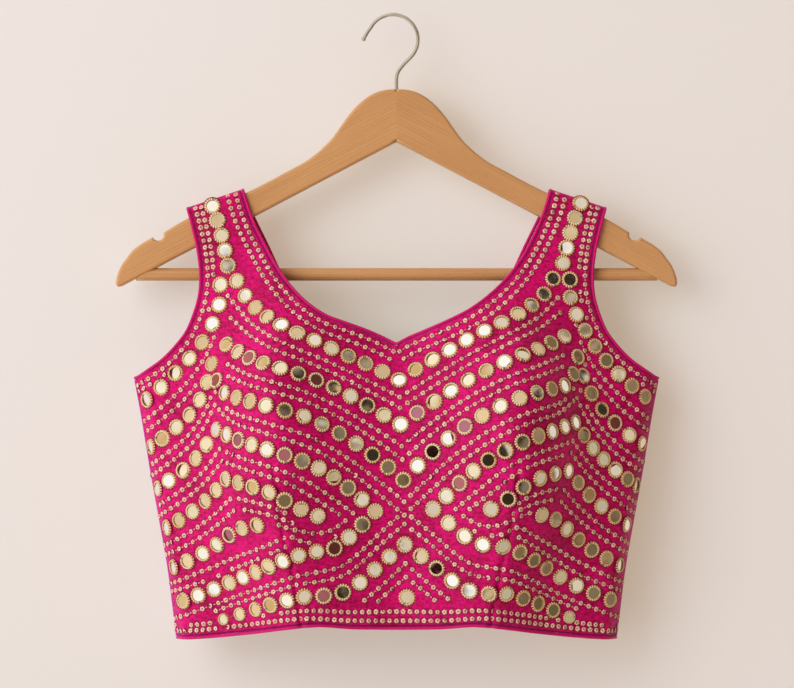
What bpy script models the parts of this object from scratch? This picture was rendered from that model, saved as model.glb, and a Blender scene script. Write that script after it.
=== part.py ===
"""Sleeveless choli blouse with a sweetheart neck, hung on a wooden hanger with a round bar.

The front is one panel shaped by two waist darts, the back is two panels that lap at the
centre back, and every free edge carries a narrow piping.  Each cloth panel is a thin wall
built from rows that run from its inner edge (neckline, then centre) to its outer edge
(armhole, then side seam).  Sizes are in millimetres; the scene is in metres.
The object's front faces -Y, its left side is at -X, and the origin is the inside of the
hook's bend.
"""
import math

import bmesh
import bpy
import numpy as np

MM = 0.001
NAME = "choli_blouse"

# ---------------------------------------------------------------- sizes of the cloth
WALL = 1.6
SEAM_GAP = 0.3
PIPING_R = 1.25
SHOULDER_ROLL = 7.0
STRAP_DEPTH = 8.6
STRAP_LEAN = 0.31
SHOULDER_IN = (122.8, -138.2)
SHOULDER_OUT = (164.0, -151.8)
UNDERARM_X = 207.8
UNDERARM_Z = -288.8
DART_DEEP = 1.5
LAP = 12.0
LAP_STEP = 3.0

# front neckline from the strap to the V, as (distance from centre, height)
NECK_LEFT = ((120.4, -146.8), (114.7, -163.0), (106.5, -179.7), (96.2, -198.3), (84.8, -214.1),
             (69.9, -228.8), (53.9, -239.0), (40.0, -244.1), (21.1, -251.1), (10.0, -256.1), (0.0, -261.3))
NECK_RIGHT = ((120.8, -146.8), (116.5, -159.9), (109.5, -175.7), (100.3, -192.4), (89.1, -207.2),
              (75.8, -220.3), (57.1, -234.0), (38.0, -243.6), (18.9, -251.9), (9.2, -256.0), (0.0, -261.3))
NECK_BACK = ((120.6, -147.1), (112.7, -164.1), (103.9, -182.1), (95.6, -200.1), (85.3, -220.3),
             (71.1, -242.6), (51.7, -263.9), (27.2, -281.3), (0.0, -289.5))
ARMHOLE = ((161.7, -159.4), (155.6, -185.5), (153.5, -203.9), (154.4, -221.4), (158.8, -236.9),
           (164.5, -250.4), (172.9, -261.8), (183.4, -272.6), (194.1, -280.5), (207.8, -288.8))
ARMHOLE_BACK = ((161.7, -159.3), (154.9, -185.4), (151.8, -203.8), (152.2, -222.4), (156.4, -238.9),
                (163.0, -253.5), (172.6, -265.4), (183.3, -275.2), (194.3, -282.4), (207.8, -288.8))

# half width of the blouse at the side seam, as (height, half width)
SIDE = ((-288.8, 207.8), (-318.0, 202.3), (-360.0, 195.0), (-400.0, 187.6), (-440.0, 180.6),
        (-470.0, 176.8), (-493.0, 174.0))
# hem height, as (share of the half width, height)
HEM = ((0.0, -479.0), (0.2, -478.3), (0.415, -476.3), (0.53, -478.8), (0.68, -483.4),
       (0.83, -487.2), (1.0, -490.2))
# waist dart line, as (height, share of the half width); it closes at the bust point
DART = ((-286.3, 0.482), (-345.0, 0.484), (-367.0, 0.480), (-395.0, 0.472), (-418.0, 0.458),
        (-440.0, 0.440), (-475.0, 0.417), (-493.0, 0.412))
DART_TOP = -342.0
DART_BOTTOM = -362.0

# how far the front stands out before the hanger's middle plane: one row per height, one
# column per share of the half width
ACROSS = (0.0, 0.2, 0.36, 0.46, 0.56, 0.64, 0.72, 0.80, 0.90, 0.96, 1.0)
FRONT_OUT = (
    (-145.0, 8.6, 8.6, 8.6, 8.6, 8.6, 8.6, 8.6, 8.6, 8.6, 8.6, 1),
    (-180.0, 14, 14, 14, 13.5, 13, 12, 11, 10, 8, 6, 1),
    (-210.0, 24, 24, 25, 24, 20, 16.5, 14, 11, 8, 6, 1),
    (-240.0, 28, 36, 42, 42, 32, 25, 19, 14, 11, 8, 1),
    (-270.0, 38, 49, 60, 63, 52, 38, 26.5, 20, 14, 9.5, 1),
    (-300.0, 52, 61, 73, 78, 67, 50.5, 35, 25, 17.5, 11.5, 1),
    (-336.0, 62, 70, 82, 85, 76, 62, 45.5, 32.5, 23.5, 16.5, 4),
    (-370.0, 62, 70, 81, 84, 78, 66, 51, 37.5, 28, 20.5, 7),
    (-403.0, 60, 67, 76, 79, 71, 61, 50, 40, 30.5, 22.5, 8),
    (-440.0, 58, 63, 69, 69, 61, 50, 42, 36, 29.5, 22.5, 9),
    (-495.0, 54, 58, 61, 59, 53, 46, 39.5, 34, 28, 22, 9),
)
# how far the back stands behind the side seam, from the centre out to the seam
BACK_ACROSS = (0.0, 0.3, 0.6, 0.8, 0.92, 0.97, 1.0)
BACK_OUT = (
    (-145.0, 9.6, 9.6, 9.6, 9.6, 9.6, 9.6, 0),
    (-200.0, 14, 14, 14, 13, 11, 8, 0),
    (-250.0, 19, 20, 19, 16, 11, 7.5, 0),
    (-286.0, 22, 23, 21, 17, 11.5, 7.5, 0),
    (-336.0, 26, 27, 25, 20, 13.5, 9, 0),
    (-403.0, 30, 31, 28, 21.5, 14.5, 9.5, 0),
    (-495.0, 29, 30, 27.5, 21.5, 15, 10, 0),
)

FRONT_COLUMNS = (0.0, 0.085, 0.17, 0.25, 0.33, 0.395, 0.443, 0.46, 0.477, 0.525, 0.575, 0.625,
                 0.675, 0.72, 0.765, 0.81, 0.86, 0.91, 0.955, 0.982, 1.0)
BACK_COLUMNS = (0.0, 0.14, 0.29, 0.44, 0.58, 0.71, 0.81, 0.89, 0.945, 0.98, 1.0)
DART_COLUMN = 0.46
ROLL_TURNS = (0.0, 30.0, 60.0)
FRONT_ROWS = (15, 17)
BACK_ROWS = (11, 13)

# ---------------------------------------------------------------- sizes of the hanger
WOOD_THICK = 12.0
WOOD_EDGE = 2.0
JOINT_GAP = 0.3
# outline of one arm from the crown out to the tip and back along the underside
ARM_OUTLINE = ((0.15, -57.9), (9.0, -58.6), (17.3, -61.0), (26.0, -66.4), (33.4, -73.3), (40.0, -81.4),
               (45.5, -89.3), (51.0, -96.8), (57.5, -103.6), (65.0, -110.2), (73.5, -116.2),
               (84.0, -121.8), (97.6, -129.2), (113.7, -137.5), (140.0, -149.1), (166.2, -160.8),
               (184.2, -171.4), (184.4, -175.0), (186.2, -177.4), (189.0, -178.0), (191.8, -177.0),
               (193.3, -175.4), (205.0, -182.5), (210.2, -187.0), (213.9, -192.0), (217.6, -197.0),
               (220.2, -202.6), (222.0, -209.0), (222.2, -212.6), (220.8, -214.4), (217.6, -213.8),
               (0.15, -99.6))
BAR_R = 5.0
BAR_Z = -204.6
BAR_HALF = 207.0
SOCKET_END = 208.4
WIRE_R = 1.5
BEND_R = 19.9
BEND_X = -2.8
BALL_R = 2.0
SHANK_END = -70.0
HOLE_END = -72.0
HOLE_R = 1.85

# ---------------------------------------------------------------- colours
PINK = (0.72, 0.008, 0.19, 1.0)
PIPING_PINK = (0.66, 0.006, 0.16, 1.0)
BEECH = (0.56, 0.30, 0.13, 1.0)
STEEL = (0.42, 0.40, 0.37, 1.0)


def through(knots, values, at):
    """Smooth curve through values at rising or falling knots, read at the points `at`.

    values may be one column, or one column per point of `at`.
    """
    k = np.asarray(knots, float)
    v = np.asarray(values, float)
    if k[0] > k[-1]:
        k, v = k[::-1], v[::-1]
    at = np.clip(np.asarray(at, float), k[0], k[-1])
    h = np.diff(k)
    hs = h.reshape((-1,) + (1,) * (v.ndim - 1))
    d = np.diff(v, axis=0) / hs
    m = np.empty_like(v)
    m[1:-1] = (d[:-1] * hs[1:] + d[1:] * hs[:-1]) / (hs[1:] + hs[:-1])
    m[0], m[-1] = d[0], d[-1]
    i = np.clip(np.searchsorted(k, at, side="right") - 1, 0, len(k) - 2)
    u = (at - k[i]) / h[i]
    if v.ndim == 2:
        own = np.arange(v.shape[1])
        v0, v1, m0, m1 = v[i, own], v[i + 1, own], m[i, own], m[i + 1, own]
    else:
        v0, v1, m0, m1 = v[i], v[i + 1], m[i], m[i + 1]
    a = u * u * (3 - 2 * u)
    return v0 * (1 - a) + v1 * a + h[i] * (u * (1 - u) ** 2 * m0 - u * u * (1 - u) * m1)


def along(points, share):
    """Points at the given shares of a smooth path through a table of points."""
    p = np.asarray(points, float)
    run = np.concatenate([[0.0], np.cumsum(np.linalg.norm(np.diff(p, axis=0), axis=1))])
    at = np.asarray(share, float) * run[-1]
    return np.stack([through(run, p[:, c], at) for c in range(p.shape[1])], axis=-1)


def stand_out(table, across, share, z):
    """Depth read from a table of heights and shares, for arrays of shares and heights."""
    rows = np.array(table, float)
    flat_z, flat_s = z.ravel(), share.ravel()
    per_share = np.stack([through(rows[:, 0], rows[:, c + 1], flat_z) for c in range(len(across))])
    mirrored = np.vstack([per_share[1:2], per_share])
    return through((-across[1],) + across, mirrored, flat_s).reshape(z.shape)


def half_width(z):
    return through([p[0] for p in SIDE], [p[1] for p in SIDE], np.minimum(z, UNDERARM_Z))


def dart_fold(offset, z):
    """How far the stitched dart line pulls the front in."""
    deep = np.clip((DART_TOP - z) / (DART_TOP - DART_BOTTOM), 0.0, 1.0)
    return DART_DEEP * deep * np.clip(1.0 - np.abs(offset) / 3.4, 0.0, 1.0)


def panel_grid(neck, armhole, columns, rows, hem_at, darts):
    """Rows of one half panel as distance from the centre x, height z and share of half width.

    The first rows run from the neckline to the armhole, the rest from the centre to the side
    seam.  With darts, the columns bend so that one of them follows the dart line.
    """
    upper, lower = rows
    f = np.array(columns)
    even = np.linspace(0.0, 1.0, len(f))
    t = np.linspace(0.0, 1.0, upper + 1)[:, None]
    inner = along(neck, t[:, 0])[:, None, :]
    outer = along(armhole, t[:, 0])[:, None, :]
    mix = t * t * (3 - 2 * t)
    g = (even * (1 - mix) + f * mix)[..., None]
    top = inner + (outer - inner) * g
    xs, zs = top[..., 0], top[..., 1]
    down = np.linspace(0.0, 1.0, lower + 1)[1:, None]
    low_z = zs[-1] + (hem_at(f) - zs[-1]) * down
    share = np.broadcast_to(f, low_z.shape)
    if darts:
        bend = through([p[0] for p in DART], [p[1] for p in DART], low_z)
        settle = np.clip(down * 3.0, 0.0, 1.0)
        bend = DART_COLUMN + (bend - DART_COLUMN) * settle
        share = np.where(f <= DART_COLUMN, f / DART_COLUMN * bend,
                         bend + (f - DART_COLUMN) / (1 - DART_COLUMN) * (1 - bend))
    x = np.vstack([xs, half_width(low_z) * share])
    z = np.vstack([zs, low_z])
    return x, z, x / half_width(z)


def add_roll(x, z, y, side_y):
    """Put the shoulder's rounded rows before a half panel; side_y is -1 in front, +1 behind."""
    k = (x[0] - SHOULDER_IN[0]) / (SHOULDER_OUT[0] - SHOULDER_IN[0])
    crest = SHOULDER_IN[1] + (SHOULDER_OUT[1] - SHOULDER_IN[1]) * k
    rows = []
    for turn in ROLL_TURNS:
        s = math.sin(math.radians(turn)) ** 0.7
        drop = 1.0 - math.cos(math.radians(turn)) ** 0.7
        rz = crest - SHOULDER_ROLL * drop
        rx = x[0] + STRAP_LEAN * (rz - z[0])
        ry = side_y * (SEAM_GAP / 2 + (STRAP_DEPTH - SEAM_GAP / 2) * s) + 0 * rz
        rows.append((rx, rz, ry))
    return (np.vstack([[r[0] for r in rows], x]), np.vstack([[r[1] for r in rows], z]),
            np.vstack([[r[2] for r in rows], y]))


def front_half(sign):
    """Outer face of one half of the front: array of rows, columns and x, y, z."""
    neck = NECK_LEFT if sign < 0 else NECK_RIGHT
    hem = lambda f: through([p[0] for p in HEM], [p[1] for p in HEM], f)
    x, z, share = panel_grid(neck, ARMHOLE, FRONT_COLUMNS, FRONT_ROWS, hem, True)
    y = -stand_out(FRONT_OUT, ACROSS, share, z)
    on_dart = through([p[0] for p in DART], [p[1] for p in DART], z) * half_width(z)
    y = y + dart_fold(x - on_dart, z)
    x, z, y = add_roll(x, z, y, -1)
    return np.stack([sign * x, y, z], axis=-1)


def back_half(sign):
    """Outer face of one back panel; the right one laps outside the left at the centre."""
    hem = lambda f: -480.2 - 10.0 * f
    x, z, share = panel_grid(NECK_BACK, ARMHOLE_BACK, BACK_COLUMNS, BACK_ROWS, hem, False)
    seam_y = -stand_out(FRONT_OUT, ACROSS, np.ones_like(z), z)
    y = seam_y + stand_out(BACK_OUT, BACK_ACROSS, share, z)
    near = np.clip((np.abs(x) - LAP) / (2 * LAP), 0.0, 1.0)
    if sign > 0:
        y = y + LAP_STEP * (1.0 - near * near * (3 - 2 * near))
    below = np.clip((z - NECK_BACK[0][1]) / (NECK_BACK[-1][1] - NECK_BACK[0][1]), 0.0, 1.0)
    x = x - LAP * below ** 4 * (1 - x / UNDERARM_X) ** 6
    y[-BACK_ROWS[1] - 1:, -1] += SEAM_GAP
    x, z, y = add_roll(x, z, y, 1)
    return np.stack([sign * x, y, z], axis=-1)


def normals_of(grid, outward_y):
    """Unit normals of a grid of points, turned to the outer face."""
    n = np.cross(np.gradient(grid, axis=0), np.gradient(grid, axis=1))
    n /= np.linalg.norm(n, axis=-1, keepdims=True)
    middle = n[n.shape[0] // 2, n.shape[1] // 2, 1]
    return n if middle * outward_y > 0 else -n


def inward_of(grid, outward_y, seam_rows):
    """Direction and length from the outer face to the inner face.

    Along the side seam it points across the body, so that front and back meet squarely.
    """
    way = -normals_of(grid, outward_y)
    sign = np.sign(grid[-1, -1, 0])
    way[-seam_rows:, -1] = (-sign * 1.2, 0.0, 0.0)
    way[0] = (0.0, 0.0, -1.0)
    return way


def wall_body(name, outer, inward, quads, material):
    """Closed thin body: outer face, inner face WALL away along `inward`, and a rim."""
    n = len(outer)
    verts = np.vstack([outer, outer + inward * WALL]) * MM
    rim = {}
    for q in quads:
        for a, b in zip(q, np.roll(q, -1)):
            key = (min(a, b), max(a, b))
            rim[key] = None if key in rim else (int(a), int(b))
    faces = [tuple(int(i) for i in q) for q in quads]
    faces += [tuple(int(i) + n for i in reversed(q)) for q in quads]
    faces += [(e[1], e[0], e[0] + n, e[1] + n) for e in rim.values() if e]
    mesh = bpy.data.meshes.new(name)
    mesh.from_pydata(verts.tolist(), [], faces)
    bm = bmesh.new()
    bm.from_mesh(mesh)
    bmesh.ops.recalc_face_normals(bm, faces=bm.faces)
    bm.to_mesh(mesh)
    bm.free()
    return add_object(name, mesh, material)


def grid_quads(rows, cols):
    r, c = np.meshgrid(np.arange(rows - 1), np.arange(cols - 1), indexing="ij")
    a = (r * cols + c).ravel()
    return np.stack([a, a + 1, a + cols + 1, a + cols], axis=-1)


def add_object(name, mesh, material):
    ob = bpy.data.objects.new(name, mesh)
    ob.data.materials.append(material)
    collection.objects.link(ob)
    return ob


def make_material(name, colour, roughness, metallic):
    mat = bpy.data.materials.new(name)
    mat.use_nodes = True
    shader = mat.node_tree.nodes["Principled BSDF"]
    shader.inputs["Base Color"].default_value = colour
    shader.inputs["Roughness"].default_value = roughness
    shader.inputs["Metallic"].default_value = metallic
    mat.diffuse_color = colour
    return mat


# ---------------------------------------------------------------- cloth panels
def build_front(material):
    """Front panel: both halves joined down the centre line below the V of the neck."""
    left, right = front_half(-1), front_half(1)
    rows, cols = left.shape[:2]
    seam = FRONT_ROWS[1] + 1
    lw, rw = inward_of(left, -1, seam), inward_of(right, -1, seam)
    middle = slice(rows - seam, rows)
    lw[middle, 0, 0] = 0.0
    outer = np.vstack([left.reshape(-1, 3), right.reshape(-1, 3)])
    inward = np.vstack([lw.reshape(-1, 3), rw.reshape(-1, 3)])
    shared = np.arange(len(outer))
    for r in range(rows - seam, rows):
        shared[rows * cols + r * cols] = r * cols
    left_quads = grid_quads(rows, cols)
    quads = shared[np.vstack([left_quads[:, ::-1], left_quads + rows * cols])]
    used = np.unique(quads)
    renumber = np.zeros(len(outer), int)
    renumber[used] = np.arange(len(used))
    wall_body("front_panel", outer[used], inward[used], renumber[quads], material)
    return left, right


def build_back(sign, name, material):
    grid = back_half(sign)
    rows, cols = grid.shape[:2]
    inward = inward_of(grid, 1, BACK_ROWS[1] + 1)
    quads = grid_quads(rows, cols)
    quads = quads if sign < 0 else quads[:, ::-1]
    wall_body(name, grid.reshape(-1, 3), inward.reshape(-1, 3), quads, material)
    return grid


# ---------------------------------------------------------------- pipings
def beside(grid, edge, outward_y):
    """Centre line of a piping beside one edge of a panel: 'inner', 'outer' or 'hem'."""
    if edge == "inner":
        line, next_in = grid[:, 0], grid[:, 1]
        n = normals_of(grid, outward_y)[:, 0]
    elif edge == "outer":
        line, next_in = grid[:, -1], grid[:, -2]
        n = normals_of(grid, outward_y)[:, -1]
    else:
        line, next_in = grid[-1], grid[-2]
        n = normals_of(grid, outward_y)[-1]
    run = np.gradient(line, axis=0)
    out = np.cross(run, n)
    out /= np.linalg.norm(out, axis=1, keepdims=True)
    flip = np.sign(np.sum(out * (line - next_in), axis=1, keepdims=True))
    return line - n * WALL / 2 + out * flip * (SEAM_GAP + 0.15 + PIPING_R)


def tube(name, points, radius, closed, sides, material):
    curve = bpy.data.curves.new(name, "CURVE")
    curve.dimensions = "3D"
    curve.bevel_depth = radius * MM
    curve.bevel_resolution = sides
    curve.use_fill_caps = not closed
    curve.resolution_u = 1
    spline = curve.splines.new("POLY")
    spline.points.add(len(points) - 1)
    flat = np.column_stack([np.asarray(points) * MM, np.ones(len(points))])
    spline.points.foreach_set("co", flat.ravel())
    spline.use_cyclic_u = closed
    curve.materials.append(material)
    holder = bpy.data.objects.new(name + "_path", curve)
    collection.objects.link(holder)
    graph = bpy.context.evaluated_depsgraph_get()
    mesh = bpy.data.meshes.new_from_object(holder.evaluated_get(graph))
    bpy.data.objects.remove(holder)
    bm = bmesh.new()
    bm.from_mesh(mesh)
    bmesh.ops.remove_doubles(bm, verts=bm.verts, dist=1e-6)
    bmesh.ops.recalc_face_normals(bm, faces=bm.faces)
    bm.to_mesh(mesh)
    bm.free()
    mesh.name = name
    if not mesh.materials:
        mesh.materials.append(material)
    ob = bpy.data.objects.new(name, mesh)
    collection.objects.link(ob)
    return ob


def build_pipings(left, right, back_left, back_right, material):
    """Neck, hem and two armhole pipings, each one cord along the edges it covers."""
    turn = FRONT_ROWS[0] + len(ROLL_TURNS) + 1
    turn_back = BACK_ROWS[0] + len(ROLL_TURNS) + 1
    neck_l, neck_r = beside(left[:turn], "inner", -1), beside(right[:turn], "inner", -1)
    v_point = (neck_l[-1] + neck_r[-1]) / 2 + np.array([0.0, 0.0, 0.6])
    back_l = beside(back_left[:turn_back], "inner", 1)
    back_r = beside(back_right[:turn_back], "inner", 1)
    neck = np.vstack([back_l[::-1][:-1], neck_l[:-1], v_point[None], neck_r[::-1][1:], back_r[1:]])
    tube("neck_piping", neck, PIPING_R, False, 1, material)
    for front, back, name in ((left, back_left, "armhole_piping_left"),
                              (right, back_right, "armhole_piping_right")):
        a = beside(front[:turn], "outer", -1)
        b = beside(back[:turn_back], "outer", 1)
        corner = (front[turn - 1, -1] + back[turn_back - 1, -1]) / 2
        sign = np.sign(corner[0])
        corner = corner + np.array([sign * 0.3, 0.4, SEAM_GAP + 0.4 + PIPING_R])
        loop = np.vstack([a[:-1], corner[None], b[::-1][1:-1]])
        tube(name, loop, PIPING_R, True, 1, material)
    h = [beside(g, "hem", s) for g, s in ((back_left, 1), (left, -1), (right, -1), (back_right, 1))]
    ends = []
    for front_end, back_end in ((h[1][-1], h[0][-1]), (h[2][-1], h[3][-1])):
        ends.append((front_end + back_end) / 2 + np.array([np.sign(front_end[0]) * 0.3, 0, -0.3]))
    hem = np.vstack([h[0][:-1], ends[0][None], h[1][::-1][1:], h[2][1:-1], ends[1][None],
                     h[3][::-1][1:]])
    tube("hem_piping", hem, PIPING_R, False, 1, material)


# ---------------------------------------------------------------- hanger
def rounded_slab(name, outline, thickness, edge, material):
    """Flat outline in x and z given a thickness along y, every edge but the joint rounded."""
    bm = bmesh.new()
    layer = bm.edges.layers.float.new("bevel_weight_edge")
    ring = [bm.verts.new((x * MM, -thickness / 2 * MM, z * MM)) for x, z in outline]
    face = bm.faces.new(ring)
    grown = bmesh.ops.extrude_face_region(bm, geom=[face])
    moved = [v for v in grown["geom"] if isinstance(v, bmesh.types.BMVert)]
    bmesh.ops.translate(bm, verts=moved, vec=(0, thickness * MM, 0))
    bmesh.ops.recalc_face_normals(bm, faces=bm.faces)
    bm.edges.ensure_lookup_table()
    for e in bm.edges:
        a, b = e.verts
        across = abs(a.co.y - b.co.y) > 1e-6
        at_joint = abs(a.co.x) < 0.0005 and abs(b.co.x) < 0.0005
        e[layer] = 0.0 if across or at_joint else 1.0
    mesh = bpy.data.meshes.new(name)
    bm.to_mesh(mesh)
    bm.free()
    ob = add_object(name, mesh, material)
    bevel = ob.modifiers.new("rounded edge", "BEVEL")
    bevel.limit_method = "WEIGHT"
    bevel.width = edge * MM
    bevel.segments = 2
    return ob


def cylinder(name, radius, start, end, sides, material, target):
    """Round bar between two points."""
    a, b = np.array(start, float), np.array(end, float)
    bm = bmesh.new()
    bmesh.ops.create_cone(bm, cap_ends=True, segments=sides, radius1=radius * MM,
                          radius2=radius * MM, depth=float(np.linalg.norm(b - a)) * MM)
    mesh = bpy.data.meshes.new(name)
    bm.to_mesh(mesh)
    bm.free()
    ob = bpy.data.objects.new(name, mesh)
    if material:
        ob.data.materials.append(material)
    ob.location = tuple((a + b) / 2 * MM)
    if abs(b[0] - a[0]) > abs(b[2] - a[2]):
        ob.rotation_euler = (0.0, math.pi / 2, 0.0)
    target.objects.link(ob)
    return ob


def cut(ob, cutter):
    mod = ob.modifiers.new("bore", "BOOLEAN")
    mod.operation = "DIFFERENCE"
    mod.solver = "EXACT"
    mod.object = cutter
    cutter.hide_render = True
    cutter.display_type = "WIRE"


def hook_path():
    """Centre line of the hook wire from its tip over the bend and down to the shank's end."""
    centre_z = WIRE_R - BEND_R
    tip = [(-25.4, -16.8), (-24.2, -14.7), (-22.4, -11.7)]
    bend = []
    for deg in np.linspace(150.0, -46.0, 24):
        a = math.radians(deg)
        bend.append((BEND_X + BEND_R * math.cos(a), centre_z + BEND_R * math.sin(a)))
    tail = [(6.9, -36.8), (3.9, -40.2), (1.6, -43.6), (0.3, -47.2), (0.0, -52.0), (0.0, -57.0),
            (0.0, SHANK_END)]
    flat = along(tip + bend + tail, np.linspace(0.0, 1.0, 46))
    return np.column_stack([flat[:, 0], np.zeros(len(flat)), flat[:, 1]])


def build_hanger(beech, steel, cutters):
    hole = cylinder("hook_hole", HOLE_R, (0, 0, HOLE_END), (0, 0, -50.0), 16, None, cutters)
    for sign, side in ((-1, "left"), (1, "right")):
        outline = [(sign * x, z) for x, z in ARM_OUTLINE]
        arm = rounded_slab("hanger_arm_" + side, outline, WOOD_THICK, WOOD_EDGE, beech)
        socket = cylinder("bar_socket_" + side, BAR_R + SEAM_GAP, (sign * 150.0, 0, BAR_Z),
                          (sign * SOCKET_END, 0, BAR_Z), 24, None, cutters)
        cut(arm, hole)
        cut(arm, socket)
    cylinder("hanger_bar", BAR_R, (-BAR_HALF, 0, BAR_Z), (BAR_HALF, 0, BAR_Z), 24, beech, collection)
    path = hook_path()
    wire = tube("hanger_hook", path, WIRE_R, False, 2, steel)
    ball = cylinder("hook_ball", BALL_R, (0, 0, 0), (0, 0, 1), 8, None, cutters)
    bm = bmesh.new()
    bmesh.ops.create_icosphere(bm, subdivisions=2, radius=BALL_R * MM)
    bm.to_mesh(ball.data)
    bm.free()
    ball.location = (-25.9 * MM, 0, -17.8 * MM)
    join = wire.modifiers.new("ball tip", "BOOLEAN")
    join.operation = "UNION"
    join.solver = "EXACT"
    join.object = ball
    ball.hide_render = True
    ball.display_type = "WIRE"


# ---------------------------------------------------------------- build
for old in list(bpy.data.objects):
    bpy.data.objects.remove(old)
collection = bpy.data.collections.new(NAME)
bpy.context.scene.collection.children.link(collection)
cutter_box = bpy.data.collections.new("cutters")
bpy.context.scene.collection.children.link(cutter_box)

silk = make_material("pink_silk", PINK, 0.55, 0.0)
binding = make_material("pink_binding", PIPING_PINK, 0.6, 0.0)
beech_wood = make_material("beech_wood", BEECH, 0.5, 0.0)
hook_steel = make_material("hook_steel", STEEL, 0.3, 1.0)

front_left, front_right = build_front(silk)
rear_left = build_back(-1, "back_panel_left", silk)
rear_right = build_back(1, "back_panel_right", silk)
build_pipings(front_left, front_right, rear_left, rear_right, binding)
build_hanger(beech_wood, hook_steel, cutter_box)
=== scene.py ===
"""Looks of a sleeveless choli blouse with mirror work, hung on a beech hanger.

The cloth is worked out as thin shells from rows and columns on the same form as the solids,
the embroidery is laid in rows on that form, and the hanger is made again with finer shapes.
Lengths in the tables are millimetres, in the blouse's own frame: x across, y away from the
viewer, z up, with the inside of the hook's bend at the origin.
"""
import math

import bpy
import numpy as np
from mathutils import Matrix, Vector


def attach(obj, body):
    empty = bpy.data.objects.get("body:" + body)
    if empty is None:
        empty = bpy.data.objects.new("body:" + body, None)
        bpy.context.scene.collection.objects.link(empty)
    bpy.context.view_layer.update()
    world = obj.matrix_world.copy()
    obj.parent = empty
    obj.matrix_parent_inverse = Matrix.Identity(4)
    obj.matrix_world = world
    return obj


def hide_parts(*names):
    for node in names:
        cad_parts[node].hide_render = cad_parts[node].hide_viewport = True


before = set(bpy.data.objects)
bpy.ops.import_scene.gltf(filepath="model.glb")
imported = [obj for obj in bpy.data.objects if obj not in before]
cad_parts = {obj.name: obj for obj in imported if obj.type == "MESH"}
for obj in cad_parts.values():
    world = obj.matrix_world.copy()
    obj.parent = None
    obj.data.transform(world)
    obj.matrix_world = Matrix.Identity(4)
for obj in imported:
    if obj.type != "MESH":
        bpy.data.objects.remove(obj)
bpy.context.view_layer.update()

MM = 0.001
WALL = 1.5                          # thickness of the cloth with its lining
SEAM_GAP = 0.04                     # between front and back at the shoulder and side seams
PIPING_R = 1.25
SHOULDER_ROLL = 7.0                 # height over which a strap turns over the hanger
ROLL_POWER = 0.7                    # 1 is a round turn, less is squarer
STRAP_DEPTH = 8.6
STRAP_LEAN = 0.31                   # how far a strap leans outwards as it rises
SHOULDER_IN = (122.8, -138.2)
SHOULDER_OUT = (164.0, -151.8)
STRAP_TOP = -146.0                  # above it the roll gives the depth
UNDERARM_X = 207.8
UNDERARM_Z = -288.8
LAP = 12.0                          # each back reaches this far past the centre
LAP_STEP = 3.0                      # and the right one lies this far over the left
BACK_HEM = (-480.2, -490.2)         # at the centre and at the side seam

# front neckline from the strap to the V, as (distance from centre, height)
NECK_LEFT = ((120.4, -146.8), (114.7, -163.0), (106.5, -179.7), (96.2, -198.3), (84.8, -214.1),
             (69.9, -228.8), (53.9, -239.0), (40.0, -244.1), (21.1, -251.1), (10.0, -256.1), (0.0, -261.3))
NECK_RIGHT = ((120.8, -146.8), (116.5, -159.9), (109.5, -175.7), (100.3, -192.4), (89.1, -207.2),
              (75.8, -220.3), (57.1, -234.0), (38.0, -243.6), (18.9, -251.9), (9.2, -256.0), (0.0, -261.3))
NECK_BACK = ((120.6, -147.1), (112.7, -164.1), (103.9, -182.1), (95.6, -200.1), (85.3, -220.3),
             (71.1, -242.6), (51.7, -263.9), (27.2, -281.3), (0.0, -289.5))
ARMHOLE = ((161.7, -159.4), (155.6, -185.5), (153.5, -203.9), (154.4, -221.4), (158.8, -236.9),
           (164.5, -250.4), (172.9, -261.8), (183.4, -272.6), (194.1, -280.5), (207.8, -288.8))
ARMHOLE_BACK = ((161.7, -159.3), (154.9, -185.4), (151.8, -203.8), (152.2, -222.4), (156.4, -238.9),
                (163.0, -253.5), (172.6, -265.4), (183.3, -275.2), (194.3, -282.4), (207.8, -288.8))
# half width at the side seam, as (height, half width)
SIDE = ((-288.8, 207.8), (-318.0, 202.3), (-360.0, 195.0), (-400.0, 187.6), (-440.0, 180.6),
        (-470.0, 176.8), (-493.0, 174.0))
# hem height, as (share of the half width, height)
HEM = ((0.0, -479.0), (0.2, -478.3), (0.415, -476.3), (0.53, -478.8), (0.68, -483.4),
       (0.83, -487.2), (1.0, -490.2))
# waist dart line, as (height, share of the half width)
DART = ((-286.3, 0.482), (-345.0, 0.484), (-367.0, 0.480), (-395.0, 0.472), (-418.0, 0.458),
        (-440.0, 0.440), (-475.0, 0.417), (-493.0, 0.412))
DART_TOP = -342.0
DART_BOTTOM = -370.0                # from here down the dart has its full depth
DART_DEEP, DART_WIDTH = 1.7, 1.5
DART_RIDGE, RIDGE_OFF, RIDGE_WIDTH = 0.5, 4.5, 2.2
DART_COLUMN = 0.46                  # share of the width whose grid line follows the dart
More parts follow.
